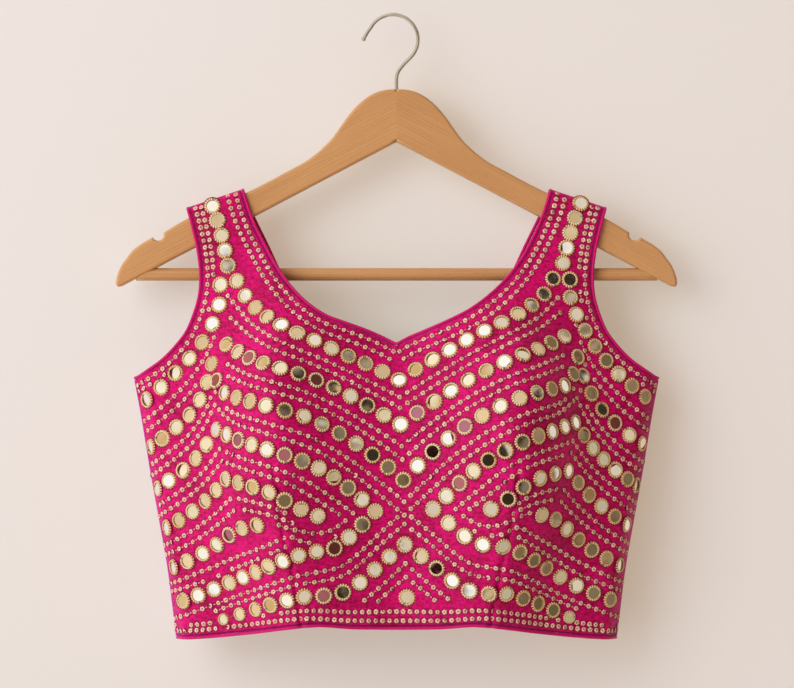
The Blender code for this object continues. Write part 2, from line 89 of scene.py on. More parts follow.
# how far the front stands before the hanger's middle plane: rows by height, columns by share
ACROSS = (0.0, 0.2, 0.36, 0.46, 0.56, 0.64, 0.72, 0.80, 0.90, 0.96, 1.0)
FRONT_OUT = (
    (-145.0, 8.6, 8.6, 8.6, 8.6, 8.6, 8.6, 8.6, 8.6, 8.6, 8.6, 1),
    (-180.0, 14, 14, 14, 13.5, 13, 12, 11, 10, 8, 6, 1),
    (-210.0, 24, 24, 25, 24, 20, 16.5, 14, 11, 8, 6, 1),
    (-240.0, 28, 36, 42, 42, 32, 25, 19, 14, 11, 8, 1),
    (-270.0, 38, 49, 60, 63, 52, 38, 26.5, 20, 14, 9.5, 1),
    (-300.0, 52, 61, 73, 78, 67, 50.5, 35, 25, 17.5, 11.5, 1),
    (-336.0, 62, 70, 82, 85, 76, 62, 45.5, 32.5, 23.5, 16.5, 4),
    (-370.0, 62, 70, 81, 84, 78, 66, 51, 37.5, 28, 20.5, 7),
    (-403.0, 60, 67, 76, 79, 71, 61, 50, 40, 30.5, 22.5, 8),
    (-440.0, 58, 63, 69, 69, 61, 50, 42, 36, 29.5, 22.5, 9),
    (-495.0, 54, 58, 61, 59, 53, 46, 39.5, 34, 28, 22, 9),
)
# how far the back stands behind the side seam
BACK_ACROSS = (0.0, 0.3, 0.6, 0.8, 0.92, 0.97, 1.0)
BACK_OUT = (
    (-145.0, 9.6, 9.6, 9.6, 9.6, 9.6, 9.6, 0),
    (-200.0, 14, 14, 14, 13, 11, 8, 0),
    (-250.0, 19, 20, 19, 16, 11, 7.5, 0),
    (-286.0, 22, 23, 21, 17, 11.5, 7.5, 0),
    (-336.0, 26, 27, 25, 20, 13.5, 9, 0),
    (-403.0, 30, 31, 28, 21.5, 14.5, 9.5, 0),
    (-495.0, 29, 30, 27.5, 21.5, 15, 10, 0),
)
CREASE_POINTS = 25                  # points along a crease's path
CREASE_FADE = 5.0 / 24.0            # share of the path over which it fades out
# soft troughs (+) and ridges (-) in the front: path points, width and depth
FRONT_CREASES = (
    (((-150.0, -262.0), (-144.0, -290.0), (-143.0, -335.0), (-136.0, -375.0), (-124.0, -412.0)), 6.0, 1.5),
    (((150.0, -258.0), (146.0, -290.0), (142.0, -338.0), (134.0, -372.0), (118.0, -404.0)), 6.5, 1.7),
    (((-160.0, -300.0), (-157.0, -345.0), (-150.0, -392.0)), 9.0, -0.8),
    (((163.0, -296.0), (158.0, -350.0), (151.0, -398.0)), 8.0, -0.9),
    (((-197.0, -292.0), (-176.0, -306.0), (-160.0, -330.0)), 5.0, 0.7),
    (((199.0, -294.0), (180.0, -312.0), (168.0, -340.0)), 6.0, 0.8),
    (((-64.0, -470.0), (-58.0, -440.0), (-60.0, -412.0)), 7.0, 0.6),
    (((92.0, -474.0), (98.0, -446.0), (96.0, -415.0)), 8.0, 0.7),
    (((-140.0, -484.0), (-138.0, -460.0), (-130.0, -438.0)), 9.0, 0.7),
    (((148.0, -486.0), (142.0, -458.0), (138.0, -430.0)), 8.0, -0.7),
    (((-22.0, -478.0), (-18.0, -450.0), (-24.0, -425.0)), 10.0, -0.5),
    (((-146.0, -172.0), (-141.0, -200.0), (-143.0, -232.0)), 6.0, 0.4),
    (((150.0, -170.0), (146.0, -205.0), (147.0, -238.0)), 5.0, 0.4),
)
BACK_CREASES = (
    (((-132.0, -268.0), (-128.0, -330.0), (-134.0, -400.0), (-128.0, -470.0)), 9.0, -1.2),
    (((126.0, -275.0), (132.0, -345.0), (124.0, -410.0), (130.0, -478.0)), 8.0, -1.0),
    (((-78.0, -262.0), (-70.0, -330.0), (-76.0, -395.0)), 12.0, 1.0),
    (((80.0, -270.0), (74.0, -350.0), (80.0, -430.0)), 13.0, 1.1),
    (((-186.0, -300.0), (-150.0, -330.0), (-118.0, -372.0)), 7.0, -0.9),
    (((188.0, -298.0), (156.0, -336.0), (130.0, -380.0)), 7.0, -0.8),
    (((-40.0, -476.0), (-44.0, -430.0), (-36.0, -380.0)), 9.0, -0.8),
    (((38.0, -474.0), (46.0, -440.0), (40.0, -400.0)), 10.0, -0.9),
)


# ================================================================ curves and forms
def through(knots, values, at):
    """Smooth curve through values at knots: cubic pieces whose slope at each knot is that of
    the parabola through it and its two neighbours.  values may hold a column per point."""
    k = np.asarray(knots, float)
    v = np.asarray(values, float)
    if k[0] > k[-1]:
        k, v = k[::-1], v[::-1]
    at = np.clip(np.asarray(at, float), k[0], k[-1])
    h = np.diff(k)
    hs = h.reshape((-1,) + (1,) * (v.ndim - 1))
    d = np.diff(v, axis=0) / hs
    m = np.empty_like(v)
    m[1:-1] = (d[:-1] * hs[1:] + d[1:] * hs[:-1]) / (hs[1:] + hs[:-1])
    m[0], m[-1] = d[0], d[-1]
    i = np.clip(np.searchsorted(k, at, side="right") - 1, 0, len(k) - 2)
    u = (at - k[i]) / h[i]
    if v.ndim == 2:
        own = np.arange(v.shape[1])
        v0, v1, m0, m1 = v[i, own], v[i + 1, own], m[i, own], m[i + 1, own]
    else:
        v0, v1, m0, m1 = v[i], v[i + 1], m[i], m[i + 1]
    a = u * u * (3 - 2 * u)
    return v0 * (1 - a) + v1 * a + h[i] * (u * (1 - u) ** 2 * m0 - u * u * (1 - u) * m1)


def column(table, n):
    """One column of a table of rows."""
    return [row[n] for row in table]


def run_of(points):
    """Length along a path up to each of its points."""
    return np.concatenate([[0.0], np.cumsum(np.linalg.norm(np.diff(points, axis=0), axis=1))])


def along(points, share):
    """Points at the given shares of the length of a smooth path through a table of points."""
    p = np.asarray(points, float)
    run = run_of(p)
    at = np.asarray(share, float) * run[-1]
    return np.stack([through(run, p[:, c], at) for c in range(p.shape[1])], axis=-1)


def stand_out(table, across, share, z):
    """Depth read smoothly from a table of heights and shares, for arrays of both."""
    rows = np.array(table, float)
    flat_z, flat_s = np.ravel(z), np.ravel(share)
    per_share = np.stack([through(rows[:, 0], rows[:, c + 1], flat_z) for c in range(len(across))])
    mirrored = np.vstack([per_share[1:2], per_share])
    return through((-across[1],) + across, mirrored, flat_s).reshape(np.shape(z))


def half_width(z):
    """From the centre to the side seam at height z, the same above the underarm."""
    return through(column(SIDE, 0), column(SIDE, 1), np.minimum(z, UNDERARM_Z))


def creased(x, z, creases):
    """Sum of soft troughs: each falls off as exp(-(distance / width)^2) from its own path and
    fades to nothing at the path's two ends."""
    total = np.zeros(np.shape(x))
    for path, width, depth in creases:
        share = np.linspace(0.0, 1.0, CREASE_POINTS)
        line = along(path, share)
        fade = np.clip(np.minimum(share, 1.0 - share) / CREASE_FADE, 0.0, 1.0)
        gap = (x[..., None] - line[:, 0]) ** 2 + (z[..., None] - line[:, 1]) ** 2
        near = np.argmin(gap, axis=-1)
        least = np.take_along_axis(gap, near[..., None], axis=-1)[..., 0]
        total = total + depth * fade[near] * np.exp(-least / width ** 2)
    return total


def crest_of(x):
    """Height of the shoulder line over distance x from the centre."""
    k = (x - SHOULDER_IN[0]) / (SHOULDER_OUT[0] - SHOULDER_IN[0])
    return SHOULDER_IN[1] + (SHOULDER_OUT[1] - SHOULDER_IN[1]) * k


def rolled(x, z, y, side_y):
    """Bends the top of a strap over the hanger: within SHOULDER_ROLL of the crest the cloth
    follows a squarish quarter turn, (cos a)^ROLL_POWER high and (sin a)^ROLL_POWER deep."""
    drop = np.clip((crest_of(x) - z) / SHOULDER_ROLL, 0.0, 1.0)
    cos_turn = (1.0 - drop) ** (1.0 / ROLL_POWER)
    s = np.sqrt(np.clip(1.0 - cos_turn ** 2, 0.0, 1.0)) ** ROLL_POWER
    over = side_y * (SEAM_GAP / 2 + (STRAP_DEPTH - SEAM_GAP / 2) * s)
    return np.where(drop < 1.0, over, y)


def front_y(x, z):
    """Depth of the front's outer face: table, dart groove, creases and the shoulder's roll."""
    d = np.abs(x)
    share = d / half_width(z)
    y = -stand_out(FRONT_OUT, ACROSS, share, z)
    on_dart = through(column(DART, 0), column(DART, 1), z) * half_width(z)
    deep = np.clip((DART_TOP - z) / (DART_TOP - DART_BOTTOM), 0.0, 1.0)
    off = np.abs(d - on_dart)
    y = y + DART_DEEP * deep * np.exp(-(off / DART_WIDTH) ** 2)
    y = y - DART_RIDGE * deep * np.exp(-((off - RIDGE_OFF) / RIDGE_WIDTH) ** 2)
    return rolled(d, z, y + creased(x, z, FRONT_CREASES), -1)


def back_y(x, z):
    """Depth of the back's outer face; the right side laps over the left at the centre."""
    d = np.abs(x)
    share = np.clip(d / half_width(z), 0.0, 1.0)
    y = -stand_out(FRONT_OUT, ACROSS, np.ones_like(z), z)
    y = y + stand_out(BACK_OUT, BACK_ACROSS, share, z) + creased(x, z, BACK_CREASES) * (share < 0.97)
    return rolled(d, z, y, 1)


def lap_lift(d):
    """How far the lapping back is lifted at distance d from the centre, easing out past the lap."""
    near = np.clip((np.abs(d) - LAP) / (2 * LAP), 0.0, 1.0)
    return LAP_STEP * (1.0 - near * near * (3 - 2 * near))


def front_hem(share):
    """Height of the front's hem at a share of the half width."""
    return through(column(HEM, 0), column(HEM, 1), share)


def back_hem(share):
    """Height of the back's hem at a share of the half width."""
    return BACK_HEM[0] + (BACK_HEM[1] - BACK_HEM[0]) * share


# ================================================================ panels
def panel_grid(neck, armhole, columns, rows, hem_at, darts):
    """Distance from the centre and height of one half panel's grid.

    The first rows run straight from the neckline to the armhole, the others from the centre
    to the side seam, spaced evenly down to the hem."""
    upper, lower = rows
    f = np.asarray(columns)
    even = np.linspace(0.0, 1.0, len(f))
    t = np.linspace(0.0, 1.0, upper + 1)[:, None]
    inner = along(neck, t[:, 0])[:, None, :]
    outer = along(armhole, t[:, 0])[:, None, :]
    mix = t * t * (3 - 2 * t)
    g = (even * (1 - mix) + f * mix)[..., None]
    top = inner + (outer - inner) * g
    low_z = top[-1, :, 1] + (hem_at(f) - top[-1, :, 1]) * np.linspace(0.0, 1.0, lower + 1)[1:, None]
    share = np.broadcast_to(f, low_z.shape)
    if darts:
        bend = through(column(DART, 0), column(DART, 1), low_z)
        settle = np.clip(np.linspace(0.0, 1.0, lower + 1)[1:, None] * 3.0, 0.0, 1.0)
        bend = DART_COLUMN + (bend - DART_COLUMN) * settle
        share = np.where(f <= DART_COLUMN, f / DART_COLUMN * bend,
                         bend + (f - DART_COLUMN) / (1 - DART_COLUMN) * (1 - bend))
    x = np.vstack([top[..., 0], half_width(low_z) * share])
    z = np.vstack([top[..., 1], low_z])
    return x, z


def add_roll(x, z, y, side_y, turns):
    """Rows of the shoulder's roll, put before the panel's own rows."""
    crest = crest_of(x[0])
    angle = np.radians(np.linspace(0.0, 90.0, turns + 1)[:-1])[:, None]
    rz = crest - SHOULDER_ROLL * (1.0 - np.cos(angle) ** ROLL_POWER)
    rx = x[0] + STRAP_LEAN * (rz - z[0])
    ry = side_y * (SEAM_GAP / 2 + (STRAP_DEPTH - SEAM_GAP / 2) * np.sin(angle) ** ROLL_POWER) + 0 * rz
    return np.vstack([rx, x]), np.vstack([rz, z]), np.vstack([ry, y])


def bunched(count):
    """Shares from 0 to 1, closer together near the dart line, where the cloth turns sharply."""
    t = np.linspace(0.0, 1.0, 2001)
    weight = 1.0 + 2.2 * np.exp(-((t - DART_COLUMN) / 0.03) ** 2) + 0.5 * t + 1.5 * t ** 12
    total = np.concatenate([[0.0], np.cumsum((weight[1:] + weight[:-1]) / 2)])
    shares = np.interp(np.linspace(0.0, total[-1], count), total, t)
    shares[np.argmin(np.abs(shares - DART_COLUMN))] = DART_COLUMN
    return shares


def front_half(sign, columns, rows, turns):
    """One half of the front as a grid of points (x, y, z), from the shoulder to the hem."""
    neck = NECK_LEFT if sign < 0 else NECK_RIGHT
    x, z = panel_grid(neck, ARMHOLE, columns, rows, front_hem, True)
    y = front_y(sign * x, np.minimum(z, STRAP_TOP))
    x, z, y = add_roll(x, z, y, -1, turns)
    return np.stack([sign * x, y, z], axis=-1)


def back_half(sign, columns, rows, turns):
    """One back as a grid of points; below the shoulder it reaches past the centre by LAP."""
    x, z = panel_grid(NECK_BACK, ARMHOLE_BACK, columns, rows, back_hem, False)
    y = back_y(sign * x, np.minimum(z, STRAP_TOP))
    if sign > 0:
        y = y + lap_lift(x)
    below = np.clip((z - NECK_BACK[0][1]) / (NECK_BACK[-1][1] - NECK_BACK[0][1]), 0.0, 1.0)
    x = x - LAP * below ** 4 * (1 - x / UNDERARM_X) ** 6
    y[-rows[1] - 1:, -1] += SEAM_GAP
    x, z, y = add_roll(x, z, y, 1, turns)
    return np.stack([sign * x, y, z], axis=-1)


def normals_of(grid, outward_y):
    """Cross product of a grid's two directions, turned to the side of outward_y."""
    n = np.cross(np.gradient(grid, axis=0), np.gradient(grid, axis=1))
    n /= np.linalg.norm(n, axis=-1, keepdims=True)
    return n if n[n.shape[0] // 2, n.shape[1] // 2, 1] * outward_y > 0 else -n


def inward_of(grid, outward_y, seam_rows):
    """From the outer to the inner face; across the body at the side seam."""
    way = -normals_of(grid, outward_y)
    way[-seam_rows:, -1] = (-np.sign(grid[-1, -1, 0]) * 1.2, 0.0, 0.0)
    way[0] = (0.0, 0.0, -1.0)
    return way


def grid_quads(rows, cols):
    """Quads of an open grid of rows and columns of points."""
    r, c = np.meshgrid(np.arange(rows - 1), np.arange(cols - 1), indexing="ij")
    a = (r * cols + c).ravel()
    return np.stack([a, a + 1, a + cols + 1, a + cols], axis=-1)


def lengths(grid, axis):
    """Length along the rows (axis 1) or down the columns (axis 0) of a grid."""
    step = np.linalg.norm(np.diff(grid, axis=axis), axis=-1)
    pad = [(0, 0), (0, 0)]
    pad[axis] = (1, 0)
    return np.cumsum(np.pad(step, pad), axis=axis)


def edge_gap(grid, upper_rows):
    """Distance from each point to the nearest piped edge, measured along the cloth."""
    far = 99.0
    run = lengths(grid, 1)
    down = lengths(grid, 0)
    upper = np.arange(len(grid))[:, None] < upper_rows
    from_neck = np.where(upper, run, far)
    from_arm = np.where(upper, run[:, -1:] - run, far)
    neck_line = grid[:upper_rows, 0]
    arm_line = grid[:upper_rows, -1]
    low = grid[upper_rows - 1:]
    for line, out in ((neck_line[::3], from_neck), (arm_line[::3], from_arm)):
        gap = np.linalg.norm(low[:, :, None, :] - line[None, None], axis=-1).min(axis=-1)
        out[upper_rows - 1:] = np.minimum(out[upper_rows - 1:], gap)
    return np.minimum(np.minimum(from_neck, from_arm), down[-1:] - down)


# ================================================================ meshes
def new_mesh(name, verts, faces, materials, face_material=None, smooth=True, corner_uv=None,
             numbers=None):
    """Mesh object from points in millimetres and faces, with optional UV map and per-point
    numbers that its materials read by name."""
    mesh = bpy.data.meshes.new(name)
    mesh.from_pydata((np.asarray(verts) * MM).tolist(), [], faces)
    for material in materials:
        mesh.materials.append(material)
    if face_material is not None:
        mesh.polygons.foreach_set("material_index", np.asarray(face_material, np.int32))
    mesh.polygons.foreach_set("use_smooth", np.full(len(mesh.polygons), smooth))
    if corner_uv is not None:
        layer = mesh.uv_layers.new(name="cloth")
        corners = np.empty(len(mesh.loops), np.int32)
        mesh.loops.foreach_get("vertex_index", corners)
        layer.data.foreach_set("uv", np.asarray(corner_uv, np.float32)[corners].ravel())
    for label, values in (numbers or {}).items():
        mesh.attributes.new(label, "FLOAT", "POINT").data.foreach_set(
            "value", np.asarray(values, np.float32).ravel())
    mesh.update()
    ob = bpy.data.objects.new(name, mesh)
    bpy.context.scene.collection.objects.link(ob)
    return ob


def ring_quads(rows, sides, closed=False):
    """Quads between one closed ring of `sides` points and the next, for all the rings; closed
    joins the last ring to the first."""
    i, j = np.meshgrid(np.arange(rows if closed else rows - 1), np.arange(sides), indexing="ij")
    k, on = (i + 1) % rows, (j + 1) % sides
    return np.stack([i * sides + j, i * sides + on, k * sides + on, k * sides + j], axis=-1).reshape(-1, 4)


def end_faces(rows, sides):
    """The faces that close the first and the last ring."""
    return [list(range(sides))[::-1], [(rows - 1) * sides + k for k in range(sides)]]


def shell(name, outer, inward, quads, uv, edge, materials):
    """Closed cloth: outer face, inner face WALL away, and a rim along every open edge."""
    n = len(outer)
    verts = np.vstack([outer, outer + inward * WALL])
    a = quads
    b = np.roll(quads, -1, axis=1)
    pairs = np.stack([a.ravel(), b.ravel()], axis=-1)
    key = np.sort(pairs, axis=1)
    code = key[:, 0].astype(np.int64) * n + key[:, 1]
    _, first, count = np.unique(code, return_index=True, return_counts=True)
    rim = pairs[first[count == 1]]
    rim_faces = np.stack([rim[:, 1], rim[:, 0], rim[:, 0] + n, rim[:, 1] + n], axis=-1)
    faces = np.vstack([quads, quads[:, ::-1] + n, rim_faces])
    kind = np.concatenate([np.zeros(len(quads)), np.ones(len(quads)), np.zeros(len(rim_faces))])
    return new_mesh(name, verts, faces.tolist(), materials, kind.astype(np.int32), True,
                    np.vstack([uv, uv]), {"edge_gap": np.concatenate([edge, edge])})


def tube(name, points, radius, sides, closed, material):
    """Round cord along a path: at each point a circle square to the path, its start carried
    on from point to point so that it doesn't spin; u runs along the cord, v round it."""
    p = np.asarray(points, float)
    if closed:
        t = np.roll(p, -1, axis=0) - np.roll(p, 1, axis=0)
    else:
        t = np.gradient(p, axis=0)
    t /= np.linalg.norm(t, axis=1, keepdims=True)
    up = np.array([0.0, 1.0, 0.0])
    side = np.cross(t, up)
    weak = np.linalg.norm(side, axis=1) < 0.25
    side[weak] = np.cross(t[weak], np.array([1.0, 0.0, 0.0]))
    side /= np.linalg.norm(side, axis=1, keepdims=True)
    flip = np.cumprod(np.concatenate([[1.0], np.sign(np.sum(side[1:] * side[:-1], axis=1))]))
    side *= flip[:, None]
    third = np.cross(side, t)
    angle = np.linspace(0.0, 2 * math.pi, sides, endpoint=False)
    cos_a, sin_a = np.cos(angle)[None, :, None], np.sin(angle)[None, :, None]
    ring = radius * (cos_a * side[:, None] + sin_a * third[:, None])
    verts = (p[:, None] + ring).reshape(-1, 3)
    rows = len(p)
    faces = ring_quads(rows, sides, closed).tolist() + ([] if closed else end_faces(rows, sides))
    run = np.repeat(run_of(p), sides)
    uv = np.stack([run * MM, np.tile(angle / (2 * math.pi), rows)], axis=-1)
    ob = new_mesh(name, verts, faces, [material], None, True, uv)
    return face_out(ob)


def face_out(ob):
    """Turns a closed mesh's faces outwards if its signed volume is negative."""
    mesh = ob.data
    co = np.empty(len(mesh.vertices) * 3, np.float64)
    mesh.vertices.foreach_get("co", co)
    co = co.reshape(-1, 3)
    mesh.calc_loop_triangles()
    tri = np.empty(len(mesh.loop_triangles) * 3, np.int32)
    mesh.loop_triangles.foreach_get("vertices", tri)
    a, b, c = co[tri.reshape(-1, 3)].transpose(1, 0, 2)
    if np.sum(a * np.cross(b, c)) < 0:
        mesh.flip_normals()
    return ob


# ================================================================ materials
def group(name, outputs):
    """Empty shader group with one vector input and the named number outputs, with its
    vector's socket and its output node."""
    tree = bpy.data.node_groups.new(name, "ShaderNodeTree")
    tree.interface.new_socket("Vector", in_out="INPUT", socket_type="NodeSocketVector")
    for label in outputs:
        tree.interface.new_socket(label, in_out="OUTPUT", socket_type="NodeSocketFloat")
    start, end = tree.nodes.new("NodeGroupInput"), tree.nodes.new("NodeGroupOutput")
    return tree, start.outputs["Vector"], end


def node(tree, kind, inputs=None, **settings):
    """One shader node; inputs are values, or sockets to link from."""
    made = tree.nodes.new(kind)
    for label, value in settings.items():
        setattr(made, label, value)
    for label, value in (inputs or {}).items():
        if isinstance(value, bpy.types.NodeSocket):
            tree.links.new(value, made.inputs[label])
        else:
            made.inputs[label].default_value = value
    return made


def fed(tree, made, values):
    """Feeds a node's inputs by number, from values or from sockets."""
    for n, value in values.items():
        if isinstance(value, bpy.types.NodeSocket):
            tree.links.new(value, made.inputs[n])
        else:
            made.inputs[n].default_value = value
    return made


def maths(tree, operation, *values):
    """Output of a maths node."""
    made = node(tree, "ShaderNodeMath", operation=operation)
    return fed(tree, made, dict(enumerate(values))).outputs[0]


def weighted(tree, *terms):
    """Sum of sockets, each times its weight."""
    total = None
    for value, weight in terms:
        if weight != 1.0:
            value = maths(tree, "MULTIPLY", value, weight)
        total = value if total is None else maths(tree, "ADD", total, value)
    return total


def noise(tree, vector, scale, detail=2.0, rough=0.5):
    """Output of a noise texture."""
    return node(tree, "ShaderNodeTexNoise", {"Vector": vector, "Scale": scale, "Detail": detail,
                                             "Roughness": rough}).outputs["Fac"]


def noise_on_piece(tree, scale, detail):
    """Noise laid on the piece's own coordinates."""
    return noise(tree, node(tree, "ShaderNodeTexCoord").outputs["Object"], scale, detail)


def number_of(tree, name):
    """The per-point number that a mesh carries under this name."""
    return node(tree, "ShaderNodeAttribute", attribute_name=name).outputs["Fac"]


def stretched(tree, vector, scale):
    """The vector with each of its parts scaled."""
    return node(tree, "ShaderNodeMapping", {"Vector": vector, "Scale": scale}).outputs["Vector"]


def blend_colours(tree, fac, first, second):
    """Mix node's factor is input 0, its two colours are 6 and 7, and its colour is output 2."""
    made = node(tree, "ShaderNodeMix", data_type="RGBA")
    return fed(tree, made, {0: fac, 6: first, 7: second}).outputs[2]


def ranged(tree, value, low, high, to_low=0.0, to_high=1.0):
    """The value moved from one range to another."""
    return node(tree, "ShaderNodeMapRange", {"Value": value, "From Min": low, "From Max": high,
                                             "To Min": to_low, "To Max": to_high}).outputs["Result"]


def slub_weave_group():
    """Raw silk: fine crossed threads, short slubs along the weft, and a small uneven pucker
    between the stitches."""
    tree, v, end = group("slub weave", ("Tone", "Height", "Shine"))
    weft = noise(tree, stretched(tree, v, (260.0, 1700.0, 1.0)), 1.0, 2.0)
    warp = noise(tree, stretched(tree, v, (1700.0, 300.0, 1.0)), 1.0, 2.0)
    slub = noise(tree, stretched(tree, v, (110.0, 620.0, 1.0)), 1.0, 3.0, 0.6)
    cloud = noise(tree, v, 30.0, 3.0)
    pull = noise(tree, v, 330.0, 3.0, 0.65)
    threads = weighted(tree, (weft, 0.5), (warp, 0.5))
    tone = weighted(tree, (threads, 0.25), (slub, 0.2), (pull, 0.35), (cloud, 0.2))
    height = weighted(tree, (threads, 0.25), (slub, 0.25), (pull, 1.0))
    tree.links.new(tone, end.inputs["Tone"])
    tree.links.new(height, end.inputs["Height"])
    tree.links.new(pull, end.inputs["Shine"])
    return tree


def beech_group():
    """Straight beech grain: long growth lines along x, short flecks and a slow change of tone."""
    tree, v, end = group("beech grain", ("Tone", "Fleck", "Height"))
    bend = noise(tree, stretched(tree, v, (6.0, 20.0, 20.0)), 1.0, 2.0)
    lines = node(tree, "ShaderNodeTexWave",
                 {"Vector": stretched(tree, v, (3.0, 30.0, 60.0)), "Scale": 2.2, "Distortion": 5.0,
                  "Detail": 3.0, "Detail Scale": 1.2}, wave_type="BANDS", bands_direction="Z")
    fine = noise(tree, stretched(tree, v, (30.0, 900.0, 900.0)), 1.0, 3.0, 0.6)
    fleck = noise(tree, stretched(tree, v, (260.0, 1500.0, 1500.0)), 1.0, 1.0)
    tone = weighted(tree, (lines.outputs["Fac"], 0.14), (fine, 0.46), (bend, 0.46))
    tree.links.new(tone, end.inputs["Tone"])
    tree.links.new(ranged(tree, fleck, 0.66, 0.74), end.inputs["Fleck"])
    tree.links.new(fine, end.inputs["Height"])
    return tree


def new_material(name, **plain):
    """Material with its shader; plain numbers and colours are set on the shader's own sockets,
    named in small letters with underscores."""
    mat = bpy.data.materials.new(name)
    mat.use_nodes = True
    tree = mat.node_tree
    shader = tree.nodes["Principled BSDF"]
    sockets = {socket.name.lower().replace(" ", "_"): socket for socket in shader.inputs}
    for label, value in plain.items():
        sockets[label].default_value = value
    return mat, tree, shader


def coloured(tree, shader, fac, first, second):
    """Base colour that runs from the first colour to the second."""
    tree.links.new(blend_colours(tree, fac, first, second), shader.inputs["Base Color"])


def roughened(tree, shader, value, low, high, to_low, to_high):
    """Drives the shader's roughness from a value moved to another range."""
    tree.links.new(ranged(tree, value, low, high, to_low, to_high), shader.inputs["Roughness"])


def placed(tree, made, vector):
    """A group's node, fed with a vector."""
    return node(tree, "ShaderNodeGroup", {"Vector": vector}, node_tree=made)


def bumped(tree, shader, height, strength, distance):
    """Drives the shader's normal from a height."""
    made = node(tree, "ShaderNodeBump", {"Height": height, "Strength": strength, "Distance": distance})
    tree.links.new(made.outputs["Normal"], shader.inputs["Normal"])


def cloth_threads(tree, weave):
    """The weave's group, laid along the threads of the cut."""
    return placed(tree, weave, node(tree, "ShaderNodeUVMap", uv_map="cloth").outputs["UV"])


def silk_material(weave):
    """Raw silk: pink that deepens between the threads, with a stitched groove just inside the piping, bumped
    in and painted dark as shade."""
    mat, tree, shader = new_material("raw silk", specular_ior_level=0.14, sheen_weight=0.5,
                                     sheen_roughness=0.4, sheen_tint=(0.72, 0.24, 0.95, 1.0))
    cloth = cloth_threads(tree, weave)
    tone = ranged(tree, cloth.outputs["Tone"], 0.42, 0.58)
    colour = blend_colours(tree, tone, (0.30, 0.001, 0.030, 1), (0.85, 0.003, 0.172, 1))
    gap = number_of(tree, "edge_gap")
    # the groove's dark colour is painted shade; its dip is in the bump below
    groove = maths(tree, "MULTIPLY", ranged(tree, gap, 0.2, 0.7), ranged(tree, gap, 1.0, 1.6, 1.0, 0.0))
    coloured(tree, shader, groove, colour, (0.20, 0.001, 0.06, 1))
    roughened(tree, shader, cloth.outputs["Shine"], 0.3, 0.7, 0.62, 0.46)
    height = maths(tree, "SUBTRACT", cloth.outputs["Height"], maths(tree, "MULTIPLY", groove, 0.8))
    bumped(tree, shader, height, 0.7, 0.0005)
    return mat


def lining_material(weave):
    """Plain cotton lining, a duller pink, kept darker than the silk as painted shade of the blouse's inside.
    """
    mat, tree, shader = new_material("lining cotton", roughness=0.85)
    cloth = cloth_threads(tree, weave)
    # the dark pink is partly the cotton's own duller colour and partly painted shade
    coloured(tree, shader, ranged(tree, cloth.outputs["Tone"], 0.35, 0.65),
             (0.16, 0.002, 0.035, 1), (0.24, 0.003, 0.06, 1))
    bumped(tree, shader, cloth.outputs["Height"], 0.4, 0.0004)
    return mat


def piping_material(weave):
    """Silk cord cut on the bias: its threads wind round the cord."""
    mat, tree, shader = new_material("silk piping", roughness=0.5, specular_ior_level=0.3,
                                     sheen_weight=0.2, sheen_tint=(1.0, 0.2, 0.65, 1.0))
    uv = node(tree, "ShaderNodeUVMap", uv_map="cloth").outputs["UV"]
    turned = node(tree, "ShaderNodeMapping", {"Vector": uv, "Rotation": (0, 0, 0.8),
                                              "Scale": (1.0, 0.008, 1.0)}).outputs["Vector"]
    cloth = placed(tree, weave, turned)
    coloured(tree, shader, ranged(tree, cloth.outputs["Tone"], 0.35, 0.65),
             (0.46, 0.001, 0.085, 1), (0.80, 0.003, 0.18, 1))
    bumped(tree, shader, cloth.outputs["Height"], 0.5, 0.0003)
    return mat


def gold_thread_material():
    """Gilt thread worked over each mirror's rim: UV holds the angle round the ring and the step of its
    profile, outer edge 0 to glass 3.  The thread's turns follow cos(18 u).  The inner wall down to the glass
    is painted dark brown as shade in the recess, and the gaps between the turns at the outer edge are painted
    dark red, silk showing through in painted shade."""
    mat, tree, shader = new_material("gilt thread", metallic=0.12)
    uv = node(tree, "ShaderNodeUVMap", uv_map="cloth").outputs["UV"]
    parts = node(tree, "ShaderNodeSeparateXYZ", {"Vector": uv})
    turn = maths(tree, "MULTIPLY", parts.outputs["X"], 18.0)
    beads = maths(tree, "MULTIPLY_ADD", maths(tree, "COSINE", turn), 0.5, 0.5)
    outer = ranged(tree, parts.outputs["Y"], 1.6, 0.5)
    inner = ranged(tree, parts.outputs["Y"], 1.8, 2.9)
    gaps = maths(tree, "MULTIPLY", ranged(tree, beads, 0.7, 0.2), outer)
    pale = weighted(tree, (noise_on_piece(tree, 1100.0, 2.0), 1.0), (number_of(tree, "tone"), 0.2))
    thread = blend_colours(tree, ranged(tree, pale, 0.4, 0.8), (0.88, 0.46, 0.14, 1), (1.0, 0.88, 0.44, 1))
    # dark brown on the inner wall by the glass: painted shade in the ring's recess
    thread = blend_colours(tree, inner, thread, (0.30, 0.17, 0.05, 1))
    # dark red in the gaps between the turns: silk showing through, darkened as painted shade
    coloured(tree, shader, gaps, thread, (0.34, 0.03, 0.02, 1))
    roughened(tree, shader, beads, 0.0, 1.0, 0.55, 0.4)
    bumped(tree, shader, beads, 0.9, 0.0006)
    return mat


def pale_thread_material():
    """Pale gilt sewing thread."""
    mat, tree, shader = new_material("pale thread", roughness=0.5)
    coloured(tree, shader, number_of(tree, "tone"), (0.70, 0.30, 0.26, 1), (0.98, 0.72, 0.60, 1))
    return mat


def sequin_material():
    """Cupped gilt metal, brushed round and a little uneven from one to the next."""
    mat, tree, shader = new_material("gilt sequin", metallic=0.06)
    spots = noise_on_piece(tree, 1000.0, 2.0)
    mixed = weighted(tree, (number_of(tree, "tone"), 0.2), (ranged(tree, spots, 0.34, 0.60, 0.05, 0.85), 1.0))
    coloured(tree, shader, mixed, (0.66, 0.14, 0.07, 1), (1.0, 0.75, 0.47, 1))
    roughened(tree, shader, spots, 0.3, 0.7, 0.46, 0.3)
    bumped(tree, shader, spots, 0.6, 0.0003)
    return mat


